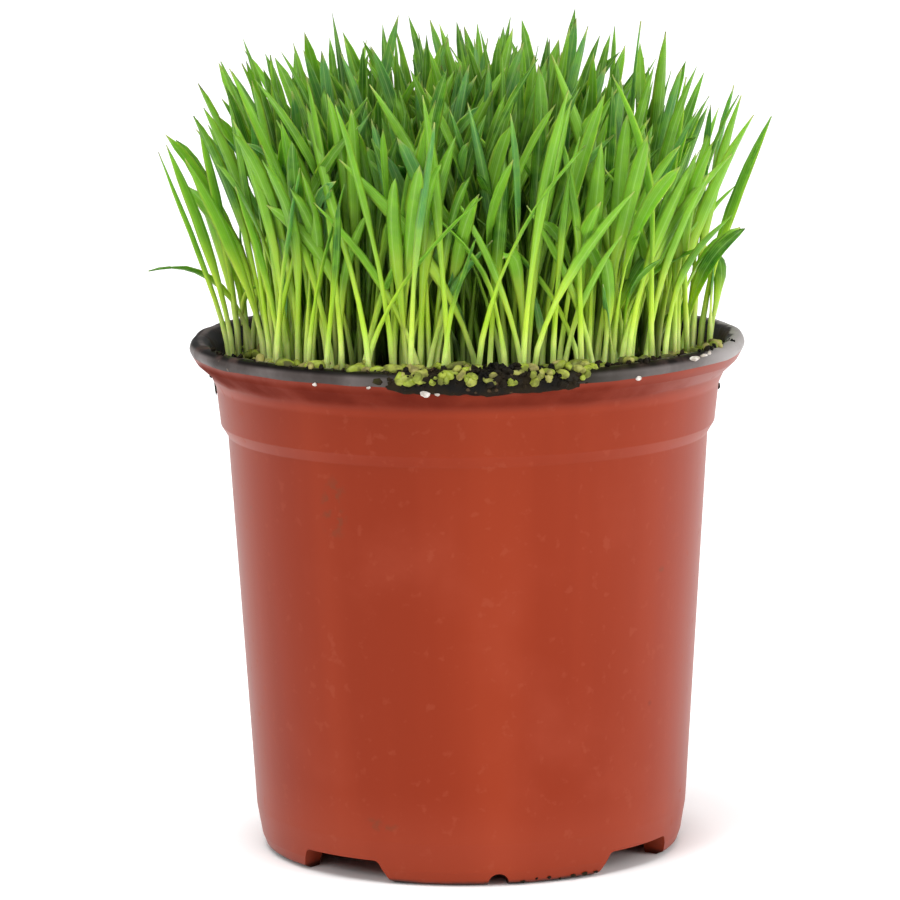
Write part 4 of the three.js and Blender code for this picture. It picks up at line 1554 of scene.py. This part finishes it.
# %% Sow the grains
EDGE_GRAINS = 110
FRONT_GRAINS = 120
SPILLED_GRAINS = 46
SPILL_SPREAD = math.radians(20)
SPILL_SUNK = 0.9
FOOT_KEY, EDGE_KEY, FRONT_KEY, SPILL_KEY = 3, 900, 901, 903
grains = []
for bunch in range(BUNCHES):
    upright = (0.35, 0, math.tau * chance("grain", bunch))
    grains.append({"place": bunch_place(bunch) + Vector((0, 0, 1.2)), "turn": upright, "size": 1.0,
                   "tint": chance("grain", bunch, 1)})
    for sprout in range(SPROUTS):
        draw = drawer(bunch, sprout, FOOT_KEY)
        aside = polar(2.2, draw("turn", 0, math.tau), draw("rise", 0.6, 1.8))
        grains.append(lying_grain(sprout_place(bunch, sprout) + aside, draw, (0.78, 0.98)))
for number in range(EDGE_GRAINS):
    draw = drawer(EDGE_KEY, number)
    grains.append(dropped_grain(draw("reach", 45, 56), number * GOLDEN_ANGLE, draw, (-0.3, 0.9)))
for number in range(FRONT_GRAINS):
    draw = drawer(FRONT_KEY, number)
    angle = HEAP_MIDDLE + HEAP_SPREAD * 0.85 * draw("turn", -1, 1)
    grains.append(dropped_grain(draw("reach", 54, 62.5), angle, draw, (-0.3, 0.8)))
for number in range(SPILLED_GRAINS):
    draw = drawer(SPILL_KEY, number)
    angle = HEAP_MIDDLE + SPILL_SPREAD * draw("turn", -1, 1)
    place = side_of(angle, draw("rise", 118.9, 120.8)) - polar(SPILL_SUNK, angle)
    grains.append(lying_grain(place, draw, (0.65, 0.95), (0.15, 0.75)))
grain_points = points_object("grains", grains, ["size", "tint"], ["place", "turn"])
wheat_grains = run_tree("wheat_grains", grain_points, grain_tree(), **{
    "Half Width": 1.4 * MM, "Half Length": 2.7 * MM, "Crease": 0.35, "Material": GRAIN})
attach(wheat_grains, "root")
print("grains:", len(grains), "faces:", len(wheat_grains.data.polygons))

# %% [markdown]
# ## Crumbs on the lip
# A pot that has been filled by hand has compost on its lip, with a few white crumbs of
# perlite among it. A crumb on top is dropped from above and stops where it meets the pot.
# One that sticks to the side is found by a ray from outside, so nothing floats or sinks
# in. All are more of the same rough balls, on points of our own.

# %% Crumbs on the lip
def crumb_tree():
    tree, wires, output = geometry_tree("place_crumbs", Int=["Roundness"], Material=["Material"])
    turn, stretch = (field(tree, name, "FLOAT_VECTOR") for name in ("turn", "stretch"))
    ball = rough_ball(tree, wires["Roundness"])
    many = copies(tree, carried_points(tree, wires), ball, turn, stretch)
    rough = knocked(tree, many, 900.0, 0.8 * MM)
    finish_tree(tree, output, Geometry=set_material(tree, rough, wires["Material"]))
    return tree


LIP_KEY, BOTTOM_KEY = 902, 904
LIP_CRUMBS = 300
LIP_SPREAD = math.radians(75)
SIDE_PROUD = 0.15


def lip_crumb(number):
    """A crumb on top of the lip, more likely near the middle of the heap than at its ends."""
    draw = drawer(LIP_KEY, number)
    place = polar(draw("reach", 59.5, 63.8), HEAP_MIDDLE + LIP_SPREAD * draw("turn", -1, 1) ** 3)
    size = mix(0.3, 1.0, chance("half", LIP_KEY, number) ** 2)
    place.z = ground_at(place.x, place.y) + 0.3 * size
    stretch = (size, size * draw("bow", 0.6, 1), size * 0.7)
    return {"place": place, "turn": lying_turn(draw), "stretch": stretch}


def stuck_on(degrees, z, width, height):
    """A crumb stuck to the outside of the pot at an angle and a height."""
    angle = math.radians(degrees)
    place = side_of(angle, z) + polar(SIDE_PROUD, angle)
    return {"place": place, "turn": (0, 0, angle), "stretch": (0.6 * width, width, height)}


def bottom_crumb(number):
    """A bit of soil low on the front foot, each a few degrees further round than the last."""
    draw = drawer(BOTTOM_KEY, number)
    degrees = BOTTOM_FROM + BOTTOM_EVERY * number
    return stuck_on(degrees, draw("rise", 0.5, 1.3), draw("half", 0.35, 0.9), draw("bow", 0.25, 0.5))


# where each sticks, in degrees round and millimetres up, and half its width and height
PERLITE_ON_LIP = [(-122, 117.4, 0.6, 0.4), (-110, 117.4, 0.5, 0.4), (-98.4, 116.4, 1.2, 0.9),
                  (-96, 116.2, 0.6, 0.5), (-53.3, 117.6, 0.8, 0.6), (-37, 120.2, 1.7, 0.5),
                  (-33.5, 120.4, 1.2, 0.4), (-31, 120.5, 0.7, 0.4)]
SOIL_UNDER_LIP = [(180, 109.2, 0.75, 2.3), (180, 112.0, 1.0, 1.0), (0, 108.2, 0.8, 0.9)]
BOTTOM_CRUMBS = 7
BOTTOM_FROM, BOTTOM_EVERY = -76, 3.6  # degrees
PERLITE, perlite_nodes, perlite_shader = new_material("perlite", Roughness=0.9, Specular_IOR_Level=0.2)
chalky = effect(perlite_nodes, PATCHES, Scale=500.0, Detail=3.0, Low=0.35, High=0.65)
perlite_colour = tint(perlite_nodes, chalky, (0.36, 0.31, 0.26), (0.68, 0.64, 0.60))
plug(perlite_nodes, perlite_shader, "Base Color", perlite_colour)
CRUMB_TREE = crumb_tree()
soil = [lip_crumb(number) for number in range(LIP_CRUMBS)]
soil += [stuck_on(*sizes) for sizes in SOIL_UNDER_LIP]
soil += [bottom_crumb(number) for number in range(BOTTOM_CRUMBS)]
white = [stuck_on(*sizes) for sizes in PERLITE_ON_LIP]
for name, rows, roundness, material in (("lip_crumbs", soil, 1, COMPOST), ("perlite", white, 2, PERLITE)):
    points = points_object(name, rows, vectors=["place", "turn", "stretch"])
    piece = run_tree(name, points, CRUMB_TREE, Roundness=roundness, Material=material)
    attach(piece, "root")
    print(name, "faces:", len(piece.data.polygons))
